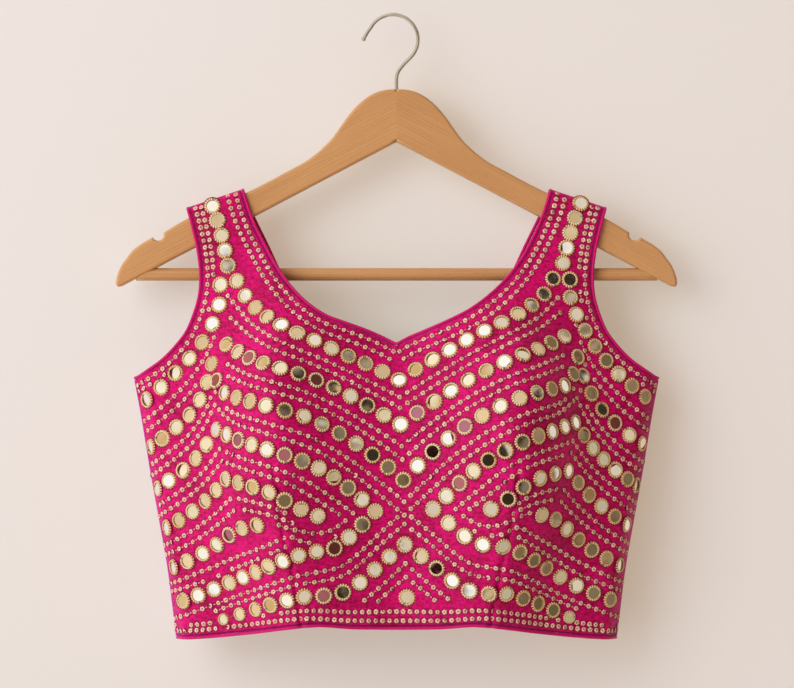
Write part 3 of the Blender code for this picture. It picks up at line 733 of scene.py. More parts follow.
def glass_material():
    """Silvered glass: nearly clean, a little uneven, each piece a slightly different tint; a piece whose
    number passes a limit takes that limit's tint.  The dull pink tint of the last limit is a painted
    reflection of the silk round the mirror."""
    mat, tree, shader = new_material("silvered glass", metallic=1.0)
    tone = number_of(tree, "tone")
    colour = (1.0, 0.99, 0.96, 1)
    # cream and tan tints of the glass itself; the dull pink one is a painted reflection of the pink silk
    for limit, tint in ((0.5, (1.0, 0.93, 0.80, 1)), (0.76, (0.90, 0.76, 0.56, 1)),
                        (0.95, (0.50, 0.19, 0.25, 1))):
        colour = blend_colours(tree, maths(tree, "GREATER_THAN", tone, limit), colour, tint)
    tree.links.new(colour, shader.inputs["Base Color"])
    roughened(tree, shader, noise_on_piece(tree, 420.0, 2.0), 0.3, 0.8, 0.03, 0.09)
    bumped(tree, shader, noise_on_piece(tree, 80.0, 0.0), 0.5, 0.0003)
    return mat


def spotted_material(name, scale, detail, first, second):
    """Matt and uneven between two shades."""
    mat, tree, shader = new_material(name, roughness=0.8)
    coloured(tree, shader, noise_on_piece(tree, scale, detail), first, second)
    return mat


def wood_material(name, grain, turn):
    """Lacquered beech, its grain turned to run along the piece."""
    mat, tree, shader = new_material(name, specular_ior_level=0.5)
    spot = node(tree, "ShaderNodeTexCoord").outputs["Object"]
    lie = node(tree, "ShaderNodeMapping", {"Vector": spot, "Rotation": (0.0, turn, 0.0)}).outputs["Vector"]
    wood = placed(tree, grain, lie)
    colour = blend_colours(tree, ranged(tree, wood.outputs["Tone"], 0.28, 0.82),
                           (0.54, 0.255, 0.071, 1), (0.71, 0.39, 0.124, 1))
    coloured(tree, shader, maths(tree, "MULTIPLY", wood.outputs["Fleck"], 0.45), colour,
             (0.33, 0.14, 0.05, 1))
    roughened(tree, shader, wood.outputs["Tone"], 0.3, 0.8, 0.4, 0.3)
    bumped(tree, shader, wood.outputs["Height"], 0.25, 0.0002)
    return mat


def steel_material():
    """Drawn steel wire, bright and faintly streaked along its run."""
    mat, tree, shader = new_material("drawn steel", metallic=1.0)
    uv = node(tree, "ShaderNodeUVMap", uv_map="cloth").outputs["UV"]
    drawn = noise(tree, stretched(tree, uv, (60.0, 40.0, 1.0)), 1.0, 3.0)
    coloured(tree, shader, drawn, (0.50, 0.465, 0.42, 1), (0.80, 0.77, 0.72, 1))
    roughened(tree, shader, drawn, 0.3, 0.7, 0.02, 0.05)
    return mat


weave = slub_weave_group()
beech = beech_group()
silk = silk_material(weave)
lining = lining_material(weave)
cord_silk = piping_material(weave)
gilt_thread = gold_thread_material()
pale_thread = pale_thread_material()
gilt_sequin = sequin_material()
glass = glass_material()
knot = spotted_material("sewing knot", 1500.0, 1.0, (0.22, 0.05, 0.03, 1), (0.50, 0.17, 0.10, 1))
# silk drawn down under the edge of a motif, darkened as painted contact shadow round the motif
drawn_in_and_shade = spotted_material("drawn-in silk in painted shade", 700.0, 2.0, (0.10, 0.001, 0.02, 1), (0.36, 0.002, 0.07, 1))
ARM_SLOPE = math.radians(27.0)
beech_left = wood_material("beech, left arm", beech, ARM_SLOPE)
beech_right = wood_material("beech, right arm", beech, -ARM_SLOPE)
beech_bar = wood_material("beech, bar", beech, 0.0)
steel = steel_material()

# ================================================================ cloth pieces
FRONT_COLUMNS = bunched(96)
FRONT_ROWS = (52, 66)
BACK_COLUMNS = 1.0 - (1.0 - np.linspace(0.0, 1.0, 64)) ** 1.35
BACK_ROWS = (46, 58)
TURNS = 8


def cloth_uv(grid, sign):
    """UV in metres: across the cloth by length along each row, down it by height."""
    run = lengths(grid, 1)
    start = np.abs(grid[:, :1, 0])
    return np.stack([sign * (run + start) * MM, grid[..., 2] * MM], axis=-1)


def make_front():
    """Both halves of the front, joined down the centre below the V."""
    halves = {s: front_half(s, FRONT_COLUMNS, FRONT_ROWS, TURNS) for s in (-1, 1)}
    rows, cols = halves[-1].shape[:2]
    seam = FRONT_ROWS[1] + 1
    way, edge, uv = {}, {}, {}
    for s, grid in halves.items():
        way[s] = inward_of(grid, -1, seam)
        way[s][rows - seam:, 0, 0] = 0.0
        edge[s] = edge_gap(grid, rows - seam + 1)
        uv[s] = cloth_uv(grid, s)
    both = [np.vstack([d[-1].reshape(-1, d[-1].shape[-1]), d[1].reshape(-1, d[1].shape[-1])])
            for d in (halves, way, uv)]
    both_edge = np.concatenate([edge[-1].ravel(), edge[1].ravel()])
    shared = np.arange(2 * rows * cols)
    centre = np.arange(rows - seam, rows) * cols
    shared[rows * cols + centre] = centre
    own = grid_quads(rows, cols)
    quads = shared[np.vstack([own[:, ::-1], own + rows * cols])]
    used, renumbered = np.unique(quads, return_inverse=True)
    ob = shell("front_cloth", both[0][used], both[1][used], renumbered.reshape(quads.shape),
               both[2][used], both_edge[used], [silk, lining])
    return ob, halves


def make_back(sign, name):
    """One back piece with its lap, a shell of two skins closed at the edges."""
    grid = back_half(sign, BACK_COLUMNS, BACK_ROWS, TURNS)
    rows, cols = grid.shape[:2]
    way = inward_of(grid, 1, BACK_ROWS[1] + 1)
    quads = grid_quads(rows, cols)
    quads = quads if sign < 0 else quads[:, ::-1]
    edge = edge_gap(grid, BACK_ROWS[0] + TURNS + 1)
    ob = shell(name, grid.reshape(-1, 3), way.reshape(-1, 3), quads,
               cloth_uv(grid, -sign).reshape(-1, 2), edge.ravel(), [silk, lining])
    return ob, grid


front_cloth, fronts = make_front()
back_left, left_grid = make_back(-1, "back_cloth_left")
back_right, right_grid = make_back(1, "back_cloth_right")
for piece in (front_cloth, back_left, back_right):
    face_out(piece)


# ================================================================ pipings
def beside(grid, edge, outward_y):
    """Centre line of the cord beside one edge of a panel."""
    line, next_in, n = {
        "inner": (grid[:, 0], grid[:, 1], normals_of(grid, outward_y)[:, 0]),
        "outer": (grid[:, -1], grid[:, -2], normals_of(grid, outward_y)[:, -1]),
        "hem": (grid[-1], grid[-2], normals_of(grid, outward_y)[-1]),
    }[edge]
    out = np.cross(np.gradient(line, axis=0), n)
    out /= np.linalg.norm(out, axis=1, keepdims=True)
    out *= np.sign(np.sum(out * (line - next_in), axis=1, keepdims=True))
    return line - n * WALL / 2 + out * (0.1 + PIPING_R)


def evened(points, step, closed=False):
    """The same path with points about `step` apart, smoothed a little."""
    p = np.vstack([points, points[:1]]) if closed else np.asarray(points)
    run = run_of(p)
    count = max(8, int(run[-1] / step))
    at = np.linspace(0.0, run[-1], count + 1)
    q = np.stack([np.interp(at, run, p[:, c]) for c in range(3)], axis=-1)
    if closed:
        q = q[:-1]
        return (np.roll(q, 1, axis=0) + 2 * q + np.roll(q, -1, axis=0)) / 4
    q[1:-1] = (q[:-2] + 2 * q[1:-1] + q[2:]) / 4
    return q


CORD_STEP = 1.6
CORD_SIDES = 10


def cord(name, line, closed=False):
    """A piping cord along a line."""
    return tube(name, evened(line, CORD_STEP, closed), PIPING_R, CORD_SIDES, closed, cord_silk)


def make_pipings():
    """The cords by the solid each stands for.  The neck's runs from the centre back over the
    left shoulder, round the front and back over the right one; an armhole's is a loop; the
    hem's runs round from the centre back."""
    top = FRONT_ROWS[0] + TURNS + 1
    top_back = BACK_ROWS[0] + TURNS + 1
    front_l, front_r = fronts[-1], fronts[1]
    neck_l, neck_r = beside(front_l[:top], "inner", -1), beside(front_r[:top], "inner", -1)
    v_point = (neck_l[-1] + neck_r[-1]) / 2 + np.array([0.0, 0.0, 0.5])
    back_l = beside(left_grid[:top_back], "inner", 1)
    back_r = beside(right_grid[:top_back], "inner", 1)
    neck = np.vstack([back_l[::-1][:-1], neck_l[:-1], v_point[None], neck_r[::-1][1:], back_r[1:]])
    made = {"neck_piping": cord("neck_cord", neck)}
    for front, back, side in ((front_l, left_grid, "left"), (front_r, right_grid, "right")):
        a = beside(front[:top], "outer", -1)
        b = beside(back[:top_back], "outer", 1)
        sign = np.sign(a[-1, 0])
        corner = (front[top - 1, -1] + back[top_back - 1, -1]) / 2
        corner = corner + np.array([sign * 0.2, 0.2, 0.5 + PIPING_R])
        loop = np.vstack([a[:-1], corner[None], b[::-1][1:-1]])
        made["armhole_piping_" + side] = cord("armhole_cord_" + side, loop, True)
    h = [beside(g, "hem", s) for g, s in ((left_grid, 1), (front_l, -1), (front_r, -1), (right_grid, 1))]
    ends = [(a + b) / 2 + np.array([np.sign(a[0]) * 0.3, 0.0, -0.2])
            for a, b in ((h[1][-1], h[0][-1]), (h[2][-1], h[3][-1]))]
    hem = np.vstack([h[0][:-1], ends[0][None], h[1][::-1][1:], h[2][1:-1], ends[1][None], h[3][::-1][1:]])
    made["hem_piping"] = cord("hem_cord", hem)
    return made


pipings = make_pipings()

# ================================================================ embroidery
MIRROR_R = 6.7
GLASS_R = 4.5
SEQUIN_R = 2.15
SEQUIN_PITCH = 7.1
HEM_PITCH = 5.4
STRAP_TIGHT = 0.76                  # share of the pitch at the top of the straps, from
TIGHT_FROM, TIGHT_OVER = -150.0, 60.0   # this height on, easing to 1 over this length
LEAD_WITHIN, LEAD_ON = 26.0, 30.0   # a row that ends so near the side seam is led on so far
NECK_ROWS = (-4.9, -11.5)           # distances of the rows of sequins from the neckline,
ARM_ROWS = (-4.7, -9.3)             # the armhole
HEM_ROWS = ((4.7, 4.2), (12.0, 8.2))    # and the hem, at the centre and at the side
EDGE_ROWS = len(NECK_ROWS + ARM_ROWS + HEM_ROWS)
TWO_ROWS = (0.39, 0.63)             # shares of the way from one row of mirrors to the next
LOW_ROWS = (0.45, 0.66)
HEM_HALF = 176.0                    # half width of the hem on which its rows are laid
# margins from the piped edges, the shoulder line and the side seam
MIRROR_MARGINS = (6.9, 3.0, 2.6)
SEQUIN_MARGINS = (2.6, 1.2, 0.9)
CLEAR_OF_MIRROR, CLEAR_OF_SEQUIN = 1.9, 4.4
# sections of the motifs from the outer edge inwards, as (radius, height over the cloth)
RING_SECTION = ((MIRROR_R, 0.0), (MIRROR_R * 0.88, 1.2), (GLASS_R + 0.25, 1.35), (GLASS_R - 0.1, 0.25))
GLASS_SECTION = ((GLASS_R + 0.25, 0.6),)
CUP_SECTION = ((SEQUIN_R, 0.05), (SEQUIN_R * 0.70, 0.75), (SEQUIN_R * 0.30, 0.3))
# dark collars under the motifs: pulled silk, darkened as painted contact shadow
MIRROR_GROUND = ((MIRROR_R + 0.7, 0.05),)
SEQUIN_GROUND = ((SEQUIN_R + 0.45, 0.05),)
# the rows' own centre line drifts sideways below the neck, as (height, shift)
DRIFT = ((-500.0, 8.4), (-460.0, 8.0), (-420.0, 6.7), (-368.0, 5.6), (-323.0, 3.3), (-288.0, 2.0),
         (-258.0, 0.0), (-140.0, 0.0))
# mirror rows of one half as (distance from the rows' centre line, height), worked outwards
STRAP = ((132.0, -197.0), (135.5, -182.0), (139.5, -166.5), (145.5, -149.8))
ROW_1 = ((0.0, -287.8), (20.6, -276.4), (41.6, -265.8), (62.6, -255.1), (83.9, -245.0),
         (104.0, -233.5), (116.5, -222.5), (124.0, -210.0), (132.0, -197.0))
ARM_ROW = ((132.0, -197.0), (137.4, -209.5), (138.0, -225.5), (143.5, -241.5), (153.0, -258.0),
           (166.0, -274.5), (180.5, -289.0), (196.5, -302.6))
ROW_2 = ((0.0, -322.0), (18.0, -310.9), (36.0, -299.8), (54.4, -289.5), (73.7, -280.8),
         (93.5, -273.4), (113.5, -266.6), (132.1, -257.0))
ROW_3 = ((0.0, -364.8), (16.3, -349.9), (33.6, -336.1), (52.1, -323.8), (71.5, -313.2),
         (92.2, -305.5), (113.6, -299.7), (135.0, -293.0), (143.2, -272.7))
ROW_3_SIDE = ((143.2, -272.7), (149.3, -293.2), (160.2, -311.6), (175.8, -326.8), (193.4, -339.6))
ROW_4 = ((22.4, -388.1), (36.4, -374.7), (51.0, -361.9), (67.0, -350.9), (84.6, -342.6),
         (102.9, -335.8), (121.6, -330.3), (139.6, -323.5))
ROW_4_SIDE = ((139.6, -323.5), (152.7, -342.6), (169.4, -358.7), (188.2, -372.3))
ROW_4_LOW = ((22.4, -388.1), (37.7, -402.2), (54.2, -414.8), (74.1, -417.8), (93.0, -424.1),
             (111.1, -434.1), (129.4, -444.1), (148.2, -453.0), (167.5, -460.8))
ROW_5 = ((66.5, -389.1), (82.6, -380.7), (97.8, -370.8), (114.8, -365.0), (132.5, -361.2))
ROW_5_SIDE = ((132.5, -361.2), (146.7, -377.2), (162.8, -391.0), (180.5, -402.9))
ROW_6 = ((109.5, -395.3), (123.0, -399.5), (138.0, -412.0), (156.0, -424.5), (175.1, -434.4))
ROW_8 = ((0.0, -414.9), (17.7, -428.2), (34.6, -442.6), (53.9, -452.5), (76.0, -453.3),
         (97.1, -459.0), (117.8, -467.1), (135.0, -474.0))
# row, mirrors on its left and right half, first one made, last one made
MIRROR_ROWS = ((STRAP, 5, 5, 1, 1), (ROW_1, 13, 12, 1, 0), (ARM_ROW, 9, 10, 0, 1), (ROW_2, 12, 11, 1, 1),
               (ROW_3, 14, 13, 1, 1), (ROW_3_SIDE, 7, 7, 0, 1), (ROW_4, 12, 11, 1, 1),
               (ROW_4_SIDE, 6, 7, 0, 1), (ROW_4_LOW, 14, 12, 0, 1), (ROW_5, 7, 6, 1, 1),
               (ROW_5_SIDE, 6, 6, 0, 1), (ROW_6, 7, 7, 1, 1), (ROW_8, 12, 11, 1, 1))
# lines that only guide the sequin rows between the mirror rows
ROW_4_CENTRE = ((0.0, -408.0),) + ROW_4
ROW_4_LOW_CENTRE = ((0.0, -368.0),) + ROW_4_LOW
INNER_6 = ((45.5, -394.0), (56.0, -400.5), (68.0, -402.5), (79.0, -400.0), (87.0, -397.5), (93.0, -395.0),
           (99.0, -393.5))
INNER_6_LOW = ((43.0, -397.0), (53.0, -405.5), (66.0, -409.7), (78.5, -408.0), (85.0, -404.5), (91.0, -404.8),
               (98.0, -408.6), (112.0, -415.8), (122.5, -421.0), (140.0, -430.5), (156.0, -438.0),
               (173.0, -446.0))
UNDER_6 = ((89.5, -412.0), (104.5, -420.0), (114.5, -425.8), (126.5, -432.0), (135.0, -437.0),
           (149.5, -444.0), (159.0, -447.5), (172.0, -452.5))
OVER_6 = ((86.0, -401.0), (101.0, -397.5), (113.0, -396.5))
UNDER_8 = (((0.0, -429.6), (11.6, -440.0), (22.9, -449.7), (34.4, -459.0)),
           ((0.0, -440.1), (12.0, -449.8), (23.6, -459.8)),
           ((149.5, -469.6), (160.0, -472.6), (173.0, -475.8)))


def hang(side, d, z):
    """Places a half row's points on one side: the rows' centre line drifts, the left side
    hangs a little lower and wider than the right."""
    dz = -0.042 * np.minimum(d, 95.0) * np.clip((205.0 - d) / 90.0, 0.3, 1.0) * (d > 0)
    dz = dz * np.clip((z + 470.0) / 60.0, 0.3, 1.0) * np.clip((-z - 200.0) / 60.0, 0.35, 1.0)
    wide = np.clip((d - 70.0) / 60.0, 0.0, 1.0) * (3.0 + 0.03 * np.maximum(-300.0 - z, 0.0))
    wide = wide * np.clip((-z - 250.0) / 30.0, 0.0, 1.0)
    lean = 1.0 if side < 0 else -1.0
    x = through(column(DRIFT, 0), column(DRIFT, 1), z) + side * (d + lean * wide)
    return np.stack([x, z + lean * dz], axis=-1)


def fine(row):
    """Many points along a row's smooth path."""
    return along(row, np.linspace(0.0, 1.0, 160))


def between(row_a, row_b, shares=TWO_ROWS):
    """Rows that run between two others, each at its share of the way at every point."""
    return [fine(row_a) * (1 - share) + fine(row_b) * share for share in shares]


def moved(row, gap, end_gap=None):
    """Row beside another, on its left as it is worked; the gap may change along it."""
    p = fine(row)
    t = np.gradient(p, axis=0)
    t /= np.linalg.norm(t, axis=1, keepdims=True)
    gaps = np.linspace(gap, gap if end_gap is None else end_gap, len(p))[:, None]
    return p + gaps * np.stack([-t[:, 1], t[:, 0]], axis=-1)


class Form:
    """One side of the blouse as a height field, with the outline inside which it is worked."""

    def __init__(self, depth, facing, neck_l, neck_r, arm, hem):
        self.depth = depth
        self.facing = facing
        share = np.linspace(0.0, 1.0, 220)
        left, right, arms = along(neck_l, share), along(neck_r, share), along(arm, share)
        self.neck = np.vstack([left * (-1, 1), right])
        self.arms = np.vstack([arms * (-1, 1), arms])
        self.right_neck, self.right_arm = right, arms
        self.hem = hem

    def lift(self, xz):
        """Points on the form at the given (x, z)."""
        x, z = xz[:, 0], xz[:, 1]
        return np.stack([x, self.depth(x, z), z], axis=-1)

    def normal(self, xz):
        """Outward normal of the surface y = f(x, z): (f_x, -1, f_z), by central differences."""
        e = 0.8
        x, z = xz[:, 0], xz[:, 1]
        fx = (self.depth(x + e, z) - self.depth(x - e, z)) / (2 * e)
        fz = (self.depth(x, z + e) - self.depth(x, z - e)) / (2 * e)
        n = np.stack([fx, -np.ones_like(fx), fz], axis=-1) * -self.facing
        return n / np.linalg.norm(n, axis=1, keepdims=True)

    def inside(self, xz, margin, top, side):
        """True where a point keeps its margins from the neckline and armholes, from the
        shoulder line, and from the side seam, and lies above the hem."""
        x, z = xz[:, 0], xz[:, 1]
        d = np.abs(x)
        ok = (d < half_width(z) - side) & (z > self.hem(d / half_width(z)) + margin)
        for line in (self.neck, self.arms):
            ok &= np.hypot(x[:, None] - line[:, 0], z[:, None] - line[:, 1]).min(axis=1) > margin
        neck, arm = self.right_neck, self.right_arm
        ok &= (z < np.interp(d, neck[::-1, 0], neck[::-1, 1])) | (d > neck[0, 0])
        ok &= (d < np.interp(-z, -arm[:, 1], arm[:, 0])) | (z < UNDERARM_Z)
        return ok & (z < crest_of(d) - top)

    def spaced(self, xz, count=None, pitch=SEQUIN_PITCH, tight=1.0):
        """Points evenly spaced along a row, measured on the cloth, with the row's direction.

        A count sets the pitch from the row's own length.  A row that ends near the side seam
        is led on past it.  `tight` is the share of the pitch at the top of the straps."""
        pitch = run_of(self.lift(xz))[-1] / (count - 1) if count else pitch
        to_side = half_width(xz[-1, 1]) - abs(xz[-1, 0])
        led_on = xz[-1, 1] < UNDERARM_Z - 5.0 and to_side < LEAD_WITHIN
        if led_on:
            on = xz[-1] - xz[-12]
            ahead = np.arange(0.7, LEAD_ON, 0.7)[:, None]
            xz = np.vstack([xz, xz[-1] + on / np.linalg.norm(on) * ahead])
        line = self.lift(xz)
        run = run_of(line)
        last = pitch * (count - 1) + 0.01 if count and not led_on else run[-1] + 0.01
        pull = np.clip((TIGHT_FROM - xz[:, 1]) / TIGHT_OVER, tight, 1.0)
        steps = np.append(0.0, np.cumsum(np.diff(run) * 2.0 / (pull[1:] + pull[:-1])))
        at = np.interp(np.arange(0.0, last if tight == 1.0 else steps[-1], pitch), steps, run)
        spots = np.stack([np.interp(at, run, xz[:, c]) for c in range(2)], axis=-1)
        ahead = np.stack([np.interp(at + 1.0, run, line[:, c]) - np.interp(at - 1.0, run, line[:, c])
                          for c in range(3)], axis=-1)
        return spots, ahead / np.maximum(np.linalg.norm(ahead, axis=1, keepdims=True), 1e-9)


def back_worked_y(x, z):
    """Depth of the back on which its embroidery stands, with the lap's lift."""
    return back_y(x, z) + np.where(x > -LAP, lap_lift(x), 0.0)


front_form = Form(front_y, -1, NECK_LEFT, NECK_RIGHT, ARMHOLE, front_hem)
back_form = Form(back_worked_y, 1, NECK_BACK, NECK_BACK, ARMHOLE_BACK, back_hem)
rng = np.random.default_rng(47)


def place_mirrors(form):
    """Centres of the mirrors, the direction of their row at each, and the row's number.  The
    first is the single mirror under the lowest chevron."""
    spots, ways, rows = [np.array([[8.2, -456.0]])], [np.array([[1.0, 0.0, 0.0]])], [np.array([-1])]
    for number, (row, left, right, first, last) in enumerate(MIRROR_ROWS):
        for side, count in ((-1, left), (1, right)):
            s, w = form.spaced(hang(side, *fine(row).T), count)
            keep = form.inside(s, *MIRROR_MARGINS)
            keep[0] &= bool(first) and (side < 0 or row[0][0] > 0.0)
            keep[count - 1:] &= bool(last)
            spots.append(s[keep])
            ways.append(w[keep])
            rows.append(np.full(keep.sum(), 2 * number + (side > 0)))
    return np.vstack(spots), np.vstack(ways), np.concatenate(rows)


def place_sequins(form, half_rows, mirrors, sizes):
    """Sequins along every row of the list, leaving out those that would touch a mirror or a
    sequin already placed."""
    spots, ways, rows = [], [], []
    first_hem = EDGE_ROWS - len(HEM_ROWS)
    for number, row in enumerate(half_rows):
        for side in (-1, 1):
            row_here = row[side > 0] if isinstance(row, tuple) else row
            xz = hang(side, *row.T) if number >= EDGE_ROWS else row_here * (side, 1)
            on_strap, on_hem = number < first_hem, first_hem <= number < EDGE_ROWS
            s, w = form.spaced(xz, None, HEM_PITCH if on_hem else SEQUIN_PITCH,
                               STRAP_TIGHT if on_strap else 1.0)
            keep = form.inside(s, *SEQUIN_MARGINS)
            spots.append(s[keep])
            ways.append(w[keep])
            rows.append(np.full(keep.sum(), 2 * number + (side > 0)))
    spots, ways, rows = np.vstack(spots), np.vstack(ways), np.concatenate(rows)
    solid = form.lift(spots)
    clear = np.linalg.norm(solid[:, None] - form.lift(mirrors)[None], axis=-1) - MIRROR_R * sizes
    clear = clear.min(axis=1) > CLEAR_OF_MIRROR
    gap = np.linalg.norm(solid[:, None] - solid[None], axis=-1)
    kept = []
    for i in np.flatnonzero(clear):
        if not kept or gap[i, kept].min() > CLEAR_OF_SEQUIN:
            kept.append(i)
    return spots[kept], ways[kept], rows[kept]


def stamp(name, form, spots, ways, rings, sides, sizes, tones, materials, lift, tilt=0.0,
          scallop=0.0, cap=None):
    """Repeats one round motif: rings of (radius, height) stood on the cloth at each spot.

    A ring's points are centre + r cos(a) t + r sin(a) b + h n, with t along the row, n the
    cloth's normal tilted a little, and b square to both; every other point of the outer ring
    is drawn in by `scallop`, and `cap` is the material that closes the middle with one face."""
    n = form.normal(spots)
    n = n + tilt * rng.normal(size=n.shape)
    n /= np.linalg.norm(n, axis=1, keepdims=True)
    t = ways - n * np.sum(ways * n, axis=1, keepdims=True)
    t /= np.linalg.norm(t, axis=1, keepdims=True)
    b = np.cross(n, t)
    centre = form.lift(spots) + n * lift
    angle = np.linspace(0.0, 2 * math.pi, sides, endpoint=False)
    a = angle[None] + rng.uniform(0, 2 * math.pi, len(spots))[:, None]
    blocks, uvs = [], []
    for k, (radius, height) in enumerate(rings):
        wave = 1.0 - scallop * (np.arange(sides) % 2) if k == 0 else np.ones(sides)
        r = radius * wave[None] * sizes[:, None]
        blocks.append(centre[:, None] + r[..., None] * (np.cos(a)[..., None] * t[:, None]
                      + np.sin(a)[..., None] * b[:, None]) + height * n[:, None])
        uvs.append(np.stack([np.broadcast_to(angle, a.shape), np.full(a.shape, float(k))], axis=-1))
    per = len(rings) * sides
    verts = np.stack(blocks, axis=1).reshape(-1, 3)
    uv = np.stack(uvs, axis=1).reshape(-1, 2)
    base = np.arange(len(spots)) * per
    faces = (ring_quads(len(rings), sides)[None] + base[:, None, None]).reshape(-1, 4).tolist()
    kinds = [0] * len(faces)
    if cap is not None:
        faces += ((per - sides + np.arange(sides))[None] + base[:, None]).tolist()
        kinds += [cap] * len(spots)
    return new_mesh(name, verts, faces, materials, kinds, True, uv, {"tone": np.repeat(tones, per)})


def stitches(name, form, spots, rows, material, reach, clear, radius, lift):
    """Stitches in the gaps between the motifs of a row that are less than `reach` apart: each
    a four-sided bar from `clear` past one centre to `clear` short of the next."""
    solid = form.lift(spots)
    length = np.linalg.norm(np.diff(solid, axis=0), axis=1)
    same = (rows[1:] == rows[:-1]) & (length < reach) & (length > 2 * clear + 0.3)
    n = form.normal((spots[:-1][same] + spots[1:][same]) / 2)
    pa, pb, length = solid[:-1][same], solid[1:][same], length[same][:, None]
    t = (pb - pa) / length
    pa, pb = pa + t * clear + n * lift, pb - t * clear + n * lift
    side = np.cross(t, n)
    corners = [side * radius, n * radius, -side * radius, -n * radius]
    verts = np.stack([pa + c for c in corners] + [pb + c for c in corners], axis=1).reshape(-1, 3)
    unit = np.array([[0, 1, 5, 4], [1, 2, 6, 5], [2, 3, 7, 6], [3, 0, 4, 7], [3, 2, 1, 0], [4, 5, 6, 7]])
    quads = (unit[None] + np.arange(len(pa))[:, None, None] * 8).reshape(-1, 4)
    tone = np.repeat(rng.uniform(0.5, 1.0, len(pa)), 8)
    return new_mesh(name, verts, quads.tolist(), [material], None, False, np.zeros((len(verts), 2)),
                    {"tone": tone})


def worked(form, side_name, sequin_rows):
    """All the embroidery of one side of the blouse as joined meshes.  The mirrors that come
    close to the hem's rows are smaller."""
    spots, ways, rows = place_mirrors(form)
    sizes = rng.uniform(0.97, 1.03, len(spots))
    x, z = spots.T
    hem_near = np.clip((form.hem(np.abs(x) / half_width(z)) + 17.0 - z) / 8.0, 0, 1)
    sizes = sizes * (1.0 - 0.35 * hem_near * (np.abs(x) > 60.0))
    tones = rng.uniform(0.0, 1.0, len(spots))
    gold = stamp(side_name + "_mirror_rings", form, spots, ways, RING_SECTION, 20, sizes, tones,
                 [gilt_thread], lift=0.15, tilt=0.015)
    # the grounds under mirrors and sequins are dark collars of painted contact shadow on pulled silk
    under = stamp(side_name + "_mirror_grounds", form, spots, ways, MIRROR_GROUND, 14, sizes, tones,
                  [drawn_in_and_shade], lift=0.08, cap=0)
    discs = stamp(side_name + "_mirrors", form, spots, ways, GLASS_SECTION, 20, sizes, tones,
                  [glass], lift=0.15, tilt=0.07, cap=0)
    s_spots, s_ways, s_rows = place_sequins(form, sequin_rows, spots, sizes)
    count = len(s_spots)
    cups = stamp(side_name + "_sequins", form, s_spots, s_ways, CUP_SECTION, 10,
                 rng.uniform(0.94, 1.08, count), rng.uniform(0.0, 1.0, count),
                 [gilt_sequin, knot], lift=0.12, tilt=0.2, scallop=0.14, cap=1)
    s_under = stamp(side_name + "_sequin_grounds", form, s_spots, s_ways, SEQUIN_GROUND, 8,
                    np.ones(count), np.ones(count), [drawn_in_and_shade], lift=0.05, cap=0)
    links = stitches(side_name + "_sequin_stitches", form, s_spots, s_rows, pale_thread,
                     reach=SEQUIN_PITCH * 1.3, clear=SEQUIN_R + 0.7, radius=0.3, lift=0.3)
    knots = stitches(side_name + "_mirror_stitches", form, spots, rows, knot,
                     reach=MIRROR_R * 2 + 6.0, clear=MIRROR_R - 0.1, radius=0.5, lift=0.2)
    return [gold, under, discs, cups, s_under, links, knots]


def sequin_layout(necks, arm, hem):
    """The first six rows follow the edges, those of the neck each side's own line; the rest run
    between the rows of mirrors."""
    rows = [tuple(moved(neck[::-1] + (SHOULDER_IN,), gap) for neck in necks) for gap in NECK_ROWS]
    rows += [moved(arm, gap) for gap in ARM_ROWS] + [moved(hem, *gaps) for gaps in HEM_ROWS]
    for pair in ((ROW_1, ROW_2), (ROW_2, ROW_3[:8]), (ROW_3, ROW_4_CENTRE), (ARM_ROW, ROW_3_SIDE),
                 (ROW_3_SIDE, ROW_4_SIDE), (ROW_4_SIDE, ROW_5_SIDE), (ROW_5_SIDE, ROW_6[1:]),
                 (ROW_4, ROW_5), (ROW_5[1:], OVER_6)):
        rows += between(*pair)
    rows += [fine(row) for row in (INNER_6, INNER_6_LOW, UNDER_6)]
    rows += between(ROW_4_LOW_CENTRE, ROW_8, LOW_ROWS)
    return rows + [fine(row) for row in UNDER_8]


front_work = worked(front_form, "front", sequin_layout(
    (NECK_LEFT, NECK_RIGHT), (SHOULDER_OUT,) + ARMHOLE,
    tuple((s * HEM_HALF, z) for s, z in HEM)))
back_work = worked(back_form, "back", sequin_layout(
    (NECK_BACK, NECK_BACK), (SHOULDER_OUT,) + ARMHOLE_BACK,
    tuple((s * HEM_HALF, back_hem(s)) for s in (0.0, 0.33, 0.67, 1.0))))

# ================================================================ hanger
ARM_OUTLINE = ((0.0, -57.9), (9.0, -58.6), (17.3, -61.0), (26.0, -66.4), (33.4, -73.3), (40.0, -81.4),
               (45.5, -89.3), (51.0, -96.8), (57.5, -103.6), (65.0, -110.2), (73.5, -116.2),
               (84.0, -121.8), (97.6, -129.2), (113.7, -137.5), (140.0, -149.1), (166.2, -160.8),
               (184.2, -171.4))
NOTCH = ((184.4, -175.0), (186.2, -177.4), (189.0, -178.0), (191.8, -177.0), (193.3, -175.4))
ARM_TIP = ((193.3, -175.4), (205.0, -182.5), (210.2, -187.0), (213.9, -192.0), (217.6, -197.0),
           (220.2, -202.6), (222.0, -209.0), (222.2, -212.6), (220.8, -214.4), (217.6, -213.8))
ARM_APEX = (0.0, -99.6)
WOOD_THICK = 12.0
WOOD_EDGE = 2.2
BAR_R = 5.0
BAR_Z = -204.6
BAR_HALF = 206.8
WIRE_R = 1.5
BEND_R = 19.9
BEND_X = -2.8
BALL_R = 2.0


def arm_loop():
    """Outline of the left arm from the apex to the tip and back under it."""
    top = along(ARM_OUTLINE, np.linspace(0.0, 1.0, 80))
    tip = along(ARM_TIP, np.linspace(0.0, 1.0, 36))
    under = np.linspace(ARM_TIP[-1], ARM_APEX, 40)
    return np.vstack([top, NOTCH[:-1], tip, under[1:]])


